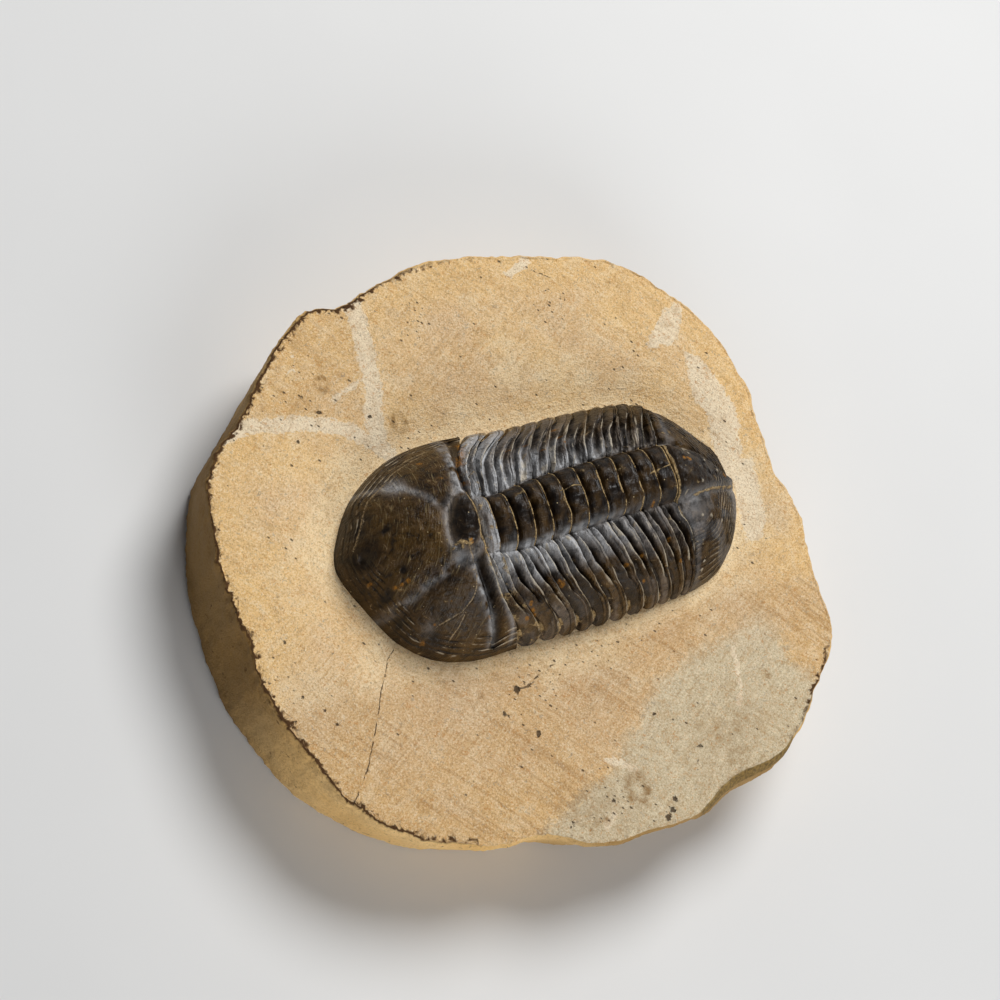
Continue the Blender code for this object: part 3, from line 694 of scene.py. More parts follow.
def segment_relief(number, u, v, x, y):
    """The relief of a segment, and the shares of it that its marks need."""
    side = np.abs(v)
    outside = from_axis(x, y)
    ring = 1 - smooth(-0.25, 0.25, outside)
    bent = np.clip(u + 0.05 * mottle(x, y, size=2.4, octaves=2, seed=42) * u * (1 - u) * 4, 0, 1)
    tongue = smooth(0.68, 0.80, side + 0.03 * mottle(number * 3.1, v * 5, size=1.0, seed=41))
    ridge_at = through(FRONT_RIDGE, side)
    along = np.where(bent < ridge_at, 0.15 * bent / ridge_at, 1 - 0.85 * (1 - bent) / (1 - ridge_at))
    begin = smooth(-0.1, 1.0, outside)
    shallow = 1 - 0.4 * (v > 0) * (along > 0.2) * (along < 0.66)
    plain = through(TONGUE_PROFILE, bent)
    pleura = through(PLEURA_PROFILE, along) * shallow * begin + plain * (1 - begin)
    flank = pleura * (1 - tongue) + plain * (1.4 + 0.6 * (v > 0)) * tongue
    relief = through(RING_PROFILE, bent) * ring + flank * (1 - ring)
    relief -= 0.12 * bell(outside, 0, 0.3) * smooth(0.1, 0.3, u) + 0.35 * ring * smooth(-1.5, 0.1, outside)
    lumps = ring * smooth(0.12, 0.3, u) * (1 - smooth(0.72, 0.82, u))
    knob = bell(y, through(KNOB_LINE, x), 0.65) * bell(u, 0.48, 0.2)
    relief += (0.06 * mottle(x, y, size=1.8, seed=47) + 0.36 * knob) * lumps
    striae = mottle(7.0 * number + 7.0 * along, v * 2.6, size=1.0, octaves=3, seed=44)
    relief += 0.22 * striae * (1 - ring) + (0.3 - 1.0 * (2 * bent - 1.1) ** 2) * (v > 0) * tongue * side
    relief += 0.09 * mottle(x, y, size=2.0, octaves=2, seed=43) + 1.2 * pitted(x, y) * (1 - 0.85 * ring)
    return relief, (side, outside, ring, bent, along, tongue, begin, striae)


heights = [height for share, height in PLEURA_PROFILE]
print("a pleura's furrow lies below its ridge by, mm:", round(max(heights) - min(heights), 2))

# %% [markdown]
# The air pen's powder is left as rock flour on the flanks beside the axis, most over the first segments
# and little in the furrows. It turns the black shell blue-grey there.

# %% Rock flour on the flanks
def flank_haze(number, v, x, y, part, furrow, facet, gap):
    """Rock flour on the flanks, most beside the axis and on the first segments."""
    side, outside, ring, bent, along, tongue, begin, striae = part
    early = 1 - smooth(26, 54, x)
    inner = 1 - smooth(0.38, 0.66, side + 0.06 * mottle(x, y, size=1.6, seed=45))
    haze = (0.02 + 0.98 * inner + 0.25 * (v > 0) * early) * (0.15 + 0.85 * early)
    haze *= (1 - 0.95 * furrow) * (1 - 0.6 * facet)
    haze += 0.08 * tongue * smooth(0.1, 0.5, mottle(x, y, size=1.8, octaves=2, seed=48) + 0.2)
    haze = haze * (1 - ring) + 0.6 * early * ring * smooth(-1.2, -0.2, outside) * (v < 0)
    if number == 1:
        haze = np.maximum(haze, np.where(v > 0, 1.0, 1 - smooth(0.45, 0.65, side)) * (1 - 0.4 * ring))
    if number == 2:
        haze = np.maximum(haze, 0.9 * (v > 0) * (1 - ring) * (1 - 0.5 * gap))
    band = smooth(0.42, 0.55, along) * (1 - smooth(0.78, 0.88, along)) * smooth(0.32, 0.48, side)
    return np.clip(haze * (1 - 0.55 * band) * (0.85 + 0.7 * striae), 0, 1) * (1 - 0.8 * gap)


print("haze left at the last segment:", round(0.15 + 0.85 * float(1 - smooth(26, 54, 50.0)), 2))

# %% [markdown]
# The other marks of a segment: the rings are black shell, and the furrows and the troughs of the striae are
# painted black as painted shade, most on the near flank. Rock is left along the rear edges and in the joints,
# and thin pale lines run along the crests, partly wear where every brush and finger has touched, partly
# painted highlight.

# %% The eleven segments
def place_segment(number):
    def place(u, v):
        x, y = between(joint_line(number - 1, v, SEAM), joint_line(number, v, -SEAM), u)
        corners = 0.07 * smooth(0.55, 0.0, u) ** 2 + 0.05 * smooth(0.72, 1.0, u) ** 2
        y = y * (1 - smooth(0.80, 1.0, np.abs(v)) * corners)
        relief, part = segment_relief(number, u, v, x, y)
        side, outside, ring, bent, along, tongue, begin, striae = part
        share = outwardness(x, y)
        z = shell_level(x, y) + relief * (1 - 0.2 * smooth(0.9, 1.0, share)) + edge_roll(share)
        flank, late = 1 - ring, smooth(26, 54, x)
        # Painted shade: the furrows are painted dark, fully on the near flank and less on the far flank,
        # where the key light reaches.
        furrow = smooth(0.19, 0.27, along) * (1 - smooth(0.56, 0.68, along)) * (1 - tongue) * begin
        furrow *= np.maximum(smooth(0.30, 0.48, side), late) * np.where(v > 0, 0.30 + 0.45 * late, 1.0)
        gap = 1 - smooth(0.03, 0.09, u) + smooth(0.972, 0.988, u)
        facet = smooth(0.0, 0.03, along) * (1 - smooth(0.08, 0.13, along))
        facet *= smooth(0.45, 0.65, side) * (1 - tongue)
        # Pale lines along the crests and joints: partly wear, partly painted highlight.
        wear_and_painted_highlight = bell(bent, 0.915, 0.03) * np.where(v > 0, 0.7, 1.0)
        wear_and_painted_highlight += bell(along, 0.15, 0.02) * (1 - tongue) * smooth(0.26, 0.36, side)
        wear_and_painted_highlight += 0.8 * smooth(0.25, 0.7, striae) * (1 - furrow) * (1 - gap) * (1 - 0.6 * tongue)
        wear_and_painted_highlight = np.clip(wear_and_painted_highlight * flank * (0.72 + 0.5 * mottle(x, y, size=1.2, octaves=2, seed=49)), 0, 1)
        rim = smooth(0.84, 0.89, bent) * (1 - 0.7 * smooth(0.955, 0.975, bent)) * ring
        rim += smooth(0.93, 0.96, bent) * flank * tongue
        at_edge = smooth(0.86, 0.97, side) * np.maximum(smooth(0.10, 0.03, u), smooth(0.88, 0.96, u))
        crumbs = at_edge + 0.5 * smooth(0.85, 0.95, side) * (v > 0) + 0.25 * (number == 1)
        rock = np.maximum(rim, crumbs) * (0.85 + 0.7 * mottle(x, y, size=0.7, octaves=2, seed=46))
        rock *= 1 - gap * (1 - at_edge)
        for vein in VEINS:
            rock = np.maximum(rock, 0.8 * groove(vein, x, y, 0.13) * ring)
        black = ring * (1 - rim) * (0.1 if number == 1 else 0.94) * smooth(0.1, -0.4, outside)
        black *= 0.85 + 0.3 * mottle(x, y, size=1.1, octaves=2, seed=50)
        # Dark: the rings' black and the joints are the shell's own; the furrows and the troughs of the striae
        # are painted shade.
        dark_and_painted_shade = np.max([black, 0.95 * gap * (1 - at_edge), 0.95 * furrow, 0.5 * facet,
                       0.85 * smooth(0.0, -0.5, striae) * flank], axis=0)
        return x, y, z, {
            "rock": rock, "haze": flank_haze(number, v, x, y, part, furrow, facet, gap), "wear_and_painted_highlight": wear_and_painted_highlight,
            "dark_and_painted_shade": dark_and_painted_shade, "ochre": ochre_at(x, y), "scratched": 0.3 * flank, **NO_SEAM}
    return place


segments = [shell_piece(f"thoracic_segment_{number:02d}", 300, 40, place_segment(number))
            for number in range(1, SEGMENTS + 1)]

# %% [markdown]
# The tail shield is one plate. The axis runs into it, narrows and ends near the tip, with a crisp edge on
# its far side and a thin pale ridge along its near side. The flanks are smooth but for terrace lines,
# which cover far more of the tail than of the head.

# %% The tail shield
AXIS_RIDGE = [(50.9, -3.3), (53.0, -3.1), (55.7, -2.7), (58.4, -2.3), (62.0, -1.9), (65.6, -1.4)]
AXIS_TAPER_NEAR = [(51, -3.2), (55.7, -2.7), (58.4, -2.3), (62, -1.9), (66.5, -1.4)]
AXIS_TAPER_FAR = [(51, 5.9), (53.3, 5.0), (56.5, 3.9), (59.4, 2.6), (61.8, 1.0), (64.0, 0.2), (66.5, -0.4)]
TAIL_RIB = [(53.0, 6.0), (53.5, 8.5), (54.6, 11.0), (55.8, 13.0)]
# Painted glints: small pale spots on the tail, each raised a little, where the light glints off it.
TAIL_PAINTED_GLINTS = [
    (54.7, -6.0, 0.35), (56.6, -6.2, 0.35), (59.0, -6.9, 0.3), (54.9, -11.8, 0.3), (54.6, -12.9, 0.3),
    (54.1, 3.9, 0.5), (54.9, 3.2, 0.35), (55.4, -1.4, 0.4), (57.6, 1.8, 0.4), (60.0, 0.2, 0.35),
    (52.2, -2.6, 0.35),
]
TAIL_LENGTH = 13


def place_tail(u, v):
    x, y = between(joint_line(SEGMENTS, v, SEAM), margin_round(TAIL_CENTRE, SEGMENTS, SEAM + 0.8, v), u)
    share = outwardness(x, y)
    inland = (1 - share) * reach_from(TAIL_CENTRE, x, y)
    outside = np.maximum(through(AXIS_TAPER_NEAR, x) - y, y - through(AXIS_TAPER_FAR, x))
    axis = 1 - smooth(-0.7, 0.15, outside)
    fade = smooth(1.0, 0.9, share)
    from_joint = u * TAIL_LENGTH
    relief = (1.05 * axis - 0.45 * bell(outside, 0.3, 0.5)) * fade * smooth(50.0, 52.0, x + 1.5)
    relief += 0.42 * groove(AXIS_RIDGE, x, y, 0.28) * fade - 0.15 * groove(TAIL_RIB, x, y, 0.35)
    relief += axis * fade * 0.30 * mottle(x, y, size=1.9, octaves=2, seed=51)
    relief -= 0.55 * bell(from_joint, 0, 0.45) * (1 - smooth(0.85, 1.0, share))
    lines = terraces(x, y, inland, 7.5 + 2.5 * (y < 0))
    relief += 0.12 * mottle(x, y, size=2.6, octaves=2, seed=52) + pitted(x, y)
    relief += 0.25 * dots(x, y, TAIL_PAINTED_GLINTS)
    z = shell_level(x, y) + relief + 0.75 * TERRACE_HEIGHT * lines + edge_roll(share)
    haze = 0.2 * groove(AXIS_RIDGE, x, y, 0.6) + 0.15 * groove(TAIL_RIB, x, y, 0.5)
    haze += 0.2 * smooth(4, 0.5, np.hypot(x - 53.0, y + 5.0)) + 0.2 * smooth(62, 66, x) * (y < 0)
    haze += 0.12 * smooth(0.1, 0.6, mottle(x, y, size=2.8, octaves=2, seed=53)) * (1 - axis)
    # Pale terrace crests and the axis's far edge are partly wear and partly painted highlight; the glint
    # spots are painted glints.
    wear_and_painted_highlight = 0.55 * smooth(0.15, 0.4, lines) * (0.5 + 0.5 * (y < 0))
    wear_and_painted_highlight += 0.8 * bell(outside, 0.1, 0.22) * (y > 0) * fade
    wear_and_painted_highlight = np.clip(wear_and_painted_highlight + 0.9 * dots(x, y, TAIL_PAINTED_GLINTS, 0.8), 0, 1)
    rock = 0.85 * groove(AXIS_RIDGE, x, y, 0.20) * smooth(52.0, 54.5, x)
    rock += 0.5 * smooth(0.45, 0.25, inland) * (y > -6)
    rock += 0.7 * smooth(0.4, 0.15, from_joint) * (outside < 0.3)
    rock += 0.5 * smooth(0.35, 0.1, from_joint) * (y < -3)
    clouded = 0.25 + 0.5 * smooth(0.1, 0.5, mottle(x, y, size=1.5, octaves=2, seed=54))
    # The troughs of the terrace lines are painted darker, as painted shade; the axis and the clouding are the
    # shell's own dark.
    dark_and_painted_shade = 0.9 * axis * smooth(-0.2, 0.6, inland - 0.5) + 0.6 * smooth(-0.1, -0.4, lines)
    dark_and_painted_shade += (1 - axis) * clouded
    return x, y, z, {
        "rock": rock, "haze": haze, "wear_and_painted_highlight": wear_and_painted_highlight, "dark_and_painted_shade": dark_and_painted_shade, "ochre": ochre_at(x, y),
        "scratched": 0.4 * (1 - axis), **NO_SEAM}


tail = shell_piece("pygidium", 280, 120, place_tail)

# %% [markdown]
# The slab is a polar grid: its columns are spokes round the fossil, and its rows run from under the
# fossil's edge over the face, round the rim, down the wall and across the back. Merging the two ends of
# the grid closes the ring, and a face fills the hidden bed and the middle of the back. The rim is where a
# hammer and a grinder worked, so it gets the roughest noise, and the wall keeps upright tool marks.

# %% The slab's outline and face
SLAB_FACE = [
    (-7.7, 25.5), (-3.5, 29.7), (0.3, 34.1), (5.9, 38.6), (10.1, 40.1), (13.7, 39.9), (18.8, 41.5),
    (25.8, 43.5), (30.2, 43.8), (39.5, 42.9), (47.7, 41.2), (57.5, 38.8), (63.7, 34.7), (70.8, 25.7),
    (73.9, 15.6), (73.8, 1.5), (75.4, -8.2), (74.3, -17.4), (73.8, -27.0), (68.6, -33.8), (62.2, -40.0),
    (57.4, -42.6), (49.6, -43.8), (42.4, -47.2), (32.3, -47.4), (26.1, -47.2), (21.5, -45.1), (16.7, -43.4),
    (10.3, -43.1), (1.1, -39.7), (-6.7, -33.7), (-12.3, -23.6), (-15.7, -12.5), (-15.4, -5.7), (-16.1, 1.7),
    (-15.4, 14.3), (-12.3, 21.4),
]
SLAB_CENTRE = (30.0, -1.0)
FACE_LEVEL = 17.2
FACE_TILT = 0.02
DISH_WIDTH = 6.0
DISH_DROP = 0.25
BACK_INSET = [
    (-180, -1.4), (-176, -1.9), (-168, -0.9), (-157, 0.1), (-148, 0.8), (-140, 2.1), (-128, 3.1), (-118, 3.0),
    (-108, 1.9), (-90, 3.5), (-60, 3.0), (-30, 2.0), (60, 1.5), (120, 1.0), (140, 0.1), (157, 0.9),
    (168, 0.0), (174, -0.8), (180, -1.4),
]
FACET_MIDDLE, FACET_HALF = math.radians(-63), math.radians(13)
FACET_OUT, FACET_DROP = 2.0, 3.2
CRUST_BY_DIRECTION = [
    (-180, 1.0), (-145, 1.0), (-130, 0.7), (-112, 0.3), (-85, 0.25), (-78, 0.1), (-52, 0.4), (-38, 0.6),
    (-28, 0.1), (0, 0.0), (50, 0.0), (62, 0.2), (75, 0.2), (92, 0.45), (105, 0.7), (120, 0.9), (150, 0.8),
    (180, 1.0),
]
FLOW_LINES = [
    [(20.2, -18.8), (24.3, -19.0), (29.1, -19.3), (34.0, -19.6), (38.8, -20.2), (43.1, -20.2), (48.1, -19.3)],
    [(29.4, -18.2), (34.3, -18.5), (38.0, -18.5), (42.8, -18.4), (46.5, -17.9), (51.7, -17.4)],
]


def face_level(x, y, away):
    """Height of the slab's face, which dishes down to the shell's margin over a short way."""
    plain = FACE_LEVEL + FACE_TILT * y + 0.25 * np.sin(x / 9.0) * np.sin(y / 11.0 + 1.0)
    at_margin = MARGIN_LEVEL + MARGIN_ROLL * y - DISH_DROP
    level = plain - (plain - at_margin) * bell(np.maximum(away, 0), 0, DISH_WIDTH)
    level += 0.05 * mottle(x, y, size=5.0, seed=61) + 0.045 * mottle(x, y, size=1.5, octaves=2, seed=62)
    for line in FLOW_LINES:
        aside = beside_path(line, x, y) + 0.12 * mottle(x, y, size=1.2, seed=64)
        level += (0.28 * smooth(-0.18, 0.12, aside) - 0.12) * bell(aside, 0, 1.6)
    return level


print("corners in the slab's outline:", len(SLAB_FACE))

# %% [markdown]
# The profile of each spoke runs through a few stations, each a reach and a height. A Catmull-Rom curve
# through them rounds the wall softly, and noise on top breaks it.

# %% From spokes to a closed block
SPOKES = 800
FACE_ROWS, WALL_ROWS, BACK_ROWS = 64, 38, 8
UNDER_EDGE = 0.9
RIM_ROUND = 0.45
MIDDLE_REACH = 43
STROKE_ROUND = 3.75


def along_stations(stations, t):
    """Catmull-Rom through rows of stations; t is a share of the way, one value per point."""
    rows = np.asarray(stations)
    spot = t * (len(rows) - 1)
    i = np.clip(np.floor(spot).astype(int), 0, len(rows) - 2)
    pick = np.arange(rows.shape[1])
    return catmull_rom(*(rows[np.clip(i + k, 0, len(rows) - 1), pick] for k in (-1, 0, 1, 2)), spot - i)


def on_spoke(angle, reach):
    """The place at a reach along each spoke."""
    return SLAB_CENTRE[0] + reach * np.cos(angle), SLAB_CENTRE[1] + reach * np.sin(angle)


print("a spoke to the right ends at, mm:", on_spoke(0.0, 45.0))

# %% [markdown]
# The wall bulges and leans as the stone broke, and flares outward on the left. The chip lower right is cut
# into it. Its tool marks are noise on the reach of each spoke, and they fade at the rim and at the back.

# %% The wall's profile
def wall_shape(angle, face, low, facet, edge, down):
    """Reach and height down the wall, from the rim to the back."""
    inset = through(BACK_INSET, np.degrees(angle))
    rough = 0.5 * np.sin(5 * angle + 1.0) + 0.35 * np.sin(11 * angle) + 0.25 * np.sin(17 * angle + 2.0)
    chip = FACET_OUT * facet
    stations = [
        (face - RIM_ROUND, edge), (face, edge - RIM_ROUND), (face + 0.5 * chip, edge - RIM_ROUND - 1.6),
        (low - 0.2 * inset + 0.1 * rough + chip, edge - RIM_ROUND - FACET_DROP),
        (low - 0.45 * inset + 0.3 * rough + 0.6 * chip, 0.55 * edge),
        (low - 0.8 * inset + 0.4 * rough, 0.25 * edge), (low - inset + 0.4 * rough, np.full_like(edge, 0.9)),
        (low - inset - 0.7 + 0.3 * rough, np.zeros_like(edge))]
    reach, height = (along_stations(values, down) for values in zip(*stations))
    around = (np.cos(angle) * MIDDLE_REACH, np.sin(angle) * MIDDLE_REACH)
    tooled = 0.07 * mottle(*around, height / 3, size=1.1, octaves=3, seed=75)
    tooled += 0.16 * mottle(*around, height, size=4.0, octaves=2, seed=76)
    tooled += 0.09 * mottle(*around, height, size=0.8, octaves=2, seed=77)
    tooled *= smooth(0.0, 0.12, down) * (1 - 0.6 * smooth(0.9, 1.0, down)) * (1 - 0.8 * facet * (down < 0.3))
    return reach + tooled, height


print("the wall runs down in rows:", WALL_ROWS)

# %% [markdown]
# Each row of the grid now gets its place: on the face, down the wall or across the back. The distances to
# the rim and to the fossil are kept, because the marks of the finish need them.

# %% The slab's points
def place_slab(u, v):
    angle = v * math.pi
    face = reach_by_angle(closed_curve(SLAB_FACE), SLAB_CENTRE, angle)
    around = (np.cos(angle) * MIDDLE_REACH, np.sin(angle) * MIDDLE_REACH)
    chipped = 0.35 + 0.65 * smooth(90.0, 120.0, np.abs(np.degrees(angle)))
    nibbled = 0.24 * mottle(*around, size=3.2, octaves=2, seed=71)
    nibbled = nibbled + 0.13 * chipped * mottle(*around, size=0.8, seed=72)
    face = face + nibbled
    bed = reach_by_angle(OUTLINE, SLAB_CENTRE, angle)
    facet = np.clip(1 - np.abs(angle - FACET_MIDDLE) / FACET_HALF, 0, 1) ** 0.5

    row = u * (FACE_ROWS + WALL_ROWS + BACK_ROWS)
    on_face = np.clip(row / FACE_ROWS, 0, 1)
    down = np.clip((row - FACE_ROWS) / WALL_ROWS, 0, 1)
    inward = np.clip((row - FACE_ROWS - WALL_ROWS) / BACK_ROWS, 0, 1)

    reach = bed - UNDER_EDGE + (face - RIM_ROUND - bed + UNDER_EDGE) * on_face
    x, y = on_spoke(angle, reach)
    to_rim = face - RIM_ROUND - reach
    crumbled = np.clip(0.2 + mottle(x, y, size=1.3, octaves=2, seed=74), 0, 2)
    face_z = face_level(x, y, reach - bed) - 0.30 * crumbled * bell(to_rim, 0, 0.7)
    edge = face_level(*on_spoke(angle, face), face - bed)
    wall_reach, wall_z = wall_shape(angle, face, face - 0.8 * nibbled, facet, edge, down)
    is_wall = row > FACE_ROWS
    reach = np.where(is_wall, wall_reach * (1 - 0.9 * inward), reach)
    x, y = on_spoke(angle, reach)
    back_z = 0.12 * np.clip(mottle(x, y, size=6.0, octaves=3, seed=78) + 0.3, 0, 1) * smooth(0.0, 0.1, inward)
    z = np.where(is_wall, np.maximum(wall_z, 0) + back_z, face_z)
    away = reach - bed
    rounds = np.stack([away, STROKE_ROUND * np.cos(angle), STROKE_ROUND * np.sin(angle)], axis=1) * MM
    return x, y, z, {"down": down, "to_rim": to_rim, "facet": facet, "away": away,
                     "crust": through(CRUST_BY_DIRECTION, np.degrees(angle)), "rounds": rounds}


print("slab grid:", SPOKES, "spokes by", FACE_ROWS + WALL_ROWS + BACK_ROWS, "rows")

# %% [markdown]
# What the finish of the limestone needs to know is measured at the same time: distances, in millimetres,
# to the pale veins, the grey zone, the cracks and the small holes, and the shares of the coloured patches.
# They are sketched on the plan from what the real face shows.

# %% Veins and zones of the face
BAND_ACROSS = [
    (-9.8, 24.1), (-6.0, 25.0), (-2.3, 24.3), (2.2, 23.6), (6.5, 22.4), (9.2, 20.9), (11.8, 19.0),
    (14.5, 16.5),
]
BAND_UP = [
    (15.9, 41.5), (15.8, 37.1), (15.6, 33.4), (15.3, 30.2), (14.8, 27.2), (14.3, 24.8), (13.4, 21.8),
    (13.1, 18.6),
]
BAND_HALF_WIDTH = [
    (BAND_ACROSS, 1.15), (BAND_UP, 1.45), ([(13.3, 28.0), (10.5, 27.0), (8.0, 26.1)], 0.35),
    ([(4.3, 34.6), (4.0, 31.9), (2.4, 31.5)], 0.16), ([(57.0, -24.7), (55.4, -31.4), (54.2, -33.6)], 0.35),
    ([(31.2, -35.7), (32.9, -36.7), (34.6, -38.1)], 0.55), ([(27.6, -45.2), (29.4, -43.6)], 0.5),
]
PALE_PATCHES = [
    [(67.0, 29.3), (68.3, 28.2), (66.8, 25.7), (64.6, 22.7), (62.4, 23.0), (59.3, 22.8), (60.8, 24.5),
     (62.4, 26.2), (64.9, 28.5)],
    [(66.0, 21.3), (67.8, 20.1), (69.3, 17.1), (70.1, 14.4), (70.8, 12.0), (70.8, 8.8), (70.2, 5.6),
     (69.5, 3.1), (71.1, 2.5), (70.7, -1.2), (70.2, -6.1), (68.3, -9.7), (65.8, -9.9), (66.1, -5.9),
     (67.1, -0.4), (65.4, 2.5), (65.6, 5.8), (66.2, 9.0), (66.0, 11.4), (65.0, 13.3), (65.0, 16.8)],
    [(40.6, 39.4), (42.7, 40.4), (44.8, 41.4), (46.3, 40.7), (44.7, 39.7), (41.7, 38.6)],
]
GREY_ZONE = [
    (59.3, -21.3), (54.1, -22.9), (49.5, -23.6), (46.9, -25.0), (42.6, -25.8), (41.3, -27.8), (38.8, -29.0),
    (36.5, -31.5), (33.6, -32.9), (31.9, -34.9), (30.2, -36.7), (26.9, -37.7), (24.6, -39.0), (22.3, -40.2),
    (18.2, -42.2), (15.0, -48.0), (41.0, -52.0), (60.3, -48.9), (70.4, -40.0), (68.5, -32.8), (66.7, -28.8),
    (65.7, -24.6), (62.6, -21.3),
]
BROWN_QUAD = [(-6.7, 25.2), (-2.5, 31.0), (5.7, 38.8), (15.0, 40.1), (14.9, 32.8), (12.8, 22.0), (6.7, 23.0)]
BROWN_SPOTS = [
    (30.3, 30.2, 5.0, 0.4), (31.1, 35.0, 4.0, 0.3), (20.6, 36.0, 4.0, 0.3), (-12.0, -2.0, 4.0, 0.3),
]
# Pale spots by the fossil's far flank: partly fresh surface, partly painted light against the dish's shade.
FRESH_AND_PAINTED_LIGHT_SPOTS = [(37.6, 24.2, 3.4, 1.0), (42.4, 21.0, 3.4, 0.9), (47.2, 22.4, 3.2, 0.9)]
LILAC_SPOTS = [
    (13.0, -21.0, 6.0, 0.9), (32.8, -22.7, 8.0, 0.9), (-8.6, -17.6, 6.0, 0.8), (70.8, -5.4, 4.0, 0.8),
    (60.0, -20.0, 5.0, 0.7), (2.0, -18.0, 6.0, 0.5),
]
STAINS = [
    (34.2, -41.0, 2.0), (28.2, -43.7, 0.45), (60.8, -30.1, 0.5), (15.7, -21.5, 0.4), (7.3, 28.8, 1.1),
    (17.2, 20.6, 1.3),
]
GREEN_SPOTS = [(27.0, -42.0, 4.0, 0.45), (50.6, -38.1, 6.0, 0.4), (26.0, -44.6, 0.5, 1.0)]


def patches(x, y, spots, seed):
    """Soft patches with ragged edges; each is a centre, a radius and a strength."""
    bend = [1.6 * mottle(x, y, size=4.0, octaves=3, seed=number) for number in (seed, seed + 3)]
    return strongest(x + bend[0], y + bend[1], spots)


print("pale veins:", len(BAND_HALF_WIDTH), "and pale patches:", len(PALE_PATCHES))

# %% [markdown]
# Cracks, holes and specks break the face at a smaller scale. The holes are where grains fell out, and the
# dark specks gather in a few places, most of all in one cluster behind the right flank.

# %% Cracks, holes and specks of the face
CRACK_PATHS = [
    [(5.6, -11.6), (4.1, -12.8), (2.9, -14.8), (1.1, -17.3), (0.0, -19.6), (-1.6, -22.5), (-2.7, -24.4),
     (-4.3, -27.1), (-6.0, -29.3), (-9.5, -33.2)],
    [(21.5, -22.1), (23.1, -22.2), (25.1, -21.2), (26.5, -20.6), (27.8, -20.2)],
    [(45.7, 38.9), (47.6, 37.6)],
]
CRACK_HALF_WIDTHS = np.array([0.045, 0.14, 0.05])
HOLES = [
    (21.5, -22.1, 0.45), (22.3, -29.2, 0.36), (22.0, -29.6, 0.22), (46.2, -37.7, 0.26), (45.7, -37.8, 0.2),
    (44.9, -39.7, 0.15), (44.4, -40.9, 0.22), (43.8, -41.0, 0.2), (47.3, -41.3, 0.14), (22.7, -43.0, 0.24),
    (22.5, -43.6, 0.2), (25.5, -43.8, 0.2), (18.2, -25.2, 0.3), (31.6, -39.1, 0.24), (31.4, -40.6, 0.24),
    (30.0, -41.6, 0.34), (39.1, -35.3, 0.15), (40.5, -31.2, 0.15), (-10.4, -6.9, 0.2), (-4.0, -10.1, 0.15),
    (2.1, -12.6, 0.2), (-11.4, -11.8, 0.15), (-10.4, -15.2, 0.15), (-7.9, -17.9, 0.15), (-12.4, -18.4, 0.17),
    (-6.7, -20.1, 0.18), (-2.8, -22.3, 0.2), (-3.7, -23.3, 0.17), (6.0, -14.6, 0.15), (9.8, -15.6, 0.17),
    (15.4, -20.9, 0.15), (18.6, -25.6, 0.15), (17.4, -27.1, 0.15), (-3.0, -15.8, 0.13), (0.9, 21.0, 0.2),
    (9.7, 19.9, 0.24), (-4.5, 24.2, 0.15), (5.4, 24.6, 0.26), (6.3, 24.0, 0.15), (12.9, 22.4, 0.26),
    (3.5, 27.6, 0.17), (2.3, 28.8, 0.17), (41.9, 31.0, 0.17), (47.0, 35.4, 0.24), (49.2, 33.4, 0.17),
    (39.4, -44.0, 0.48), (38.3, -45.4, 0.5), (37.4, -46.3, 0.34),
]
SPECKLED = [
    (24.2, 35.0, 3.0, 1.0), (23.0, 33.9, 2.2, 0.9), (6.0, 30.2, 3.6, 0.6), (2.0, 29.0, 3.2, 0.6),
    (14.6, 39.0, 2.0, 0.9), (5.0, 24.8, 2.4, 0.8), (12.5, 24.0, 2.0, 0.7), (8.5, 28.5, 3.0, 0.5),
    (36.0, -19.5, 3.0, 0.7), (26.0, -20.0, 4.0, 0.8), (44.0, -18.6, 3.0, 0.5), (31.0, -41.0, 4.0, 0.6),
    (62.0, -40.0, 3.0, 0.7), (47.0, 34.0, 3.0, 0.5), (19.0, 17.0, 3.0, 0.35),
]
print("holes in the face:", len(HOLES), "and cracks:", len(CRACK_PATHS))

# %% [markdown]
# The marks of the stone are gathered in one place. A depth inside a vein or a hole is kept as a distance,
# so that the finish can fray its edge, and a patch of colour is kept as a share from 0 to 1.

# %% What the stone's finish reads
NOWHERE = -3.0
SLAB_THICKNESS = 17


def deepest(x, sketches, start=NOWHERE):
    """The largest of some depths at each point, such as how far inside the nearest pale vein it lies."""
    depth = np.full(len(x), start)
    for sketch in sketches:
        depth = np.maximum(depth, sketch)
    return depth


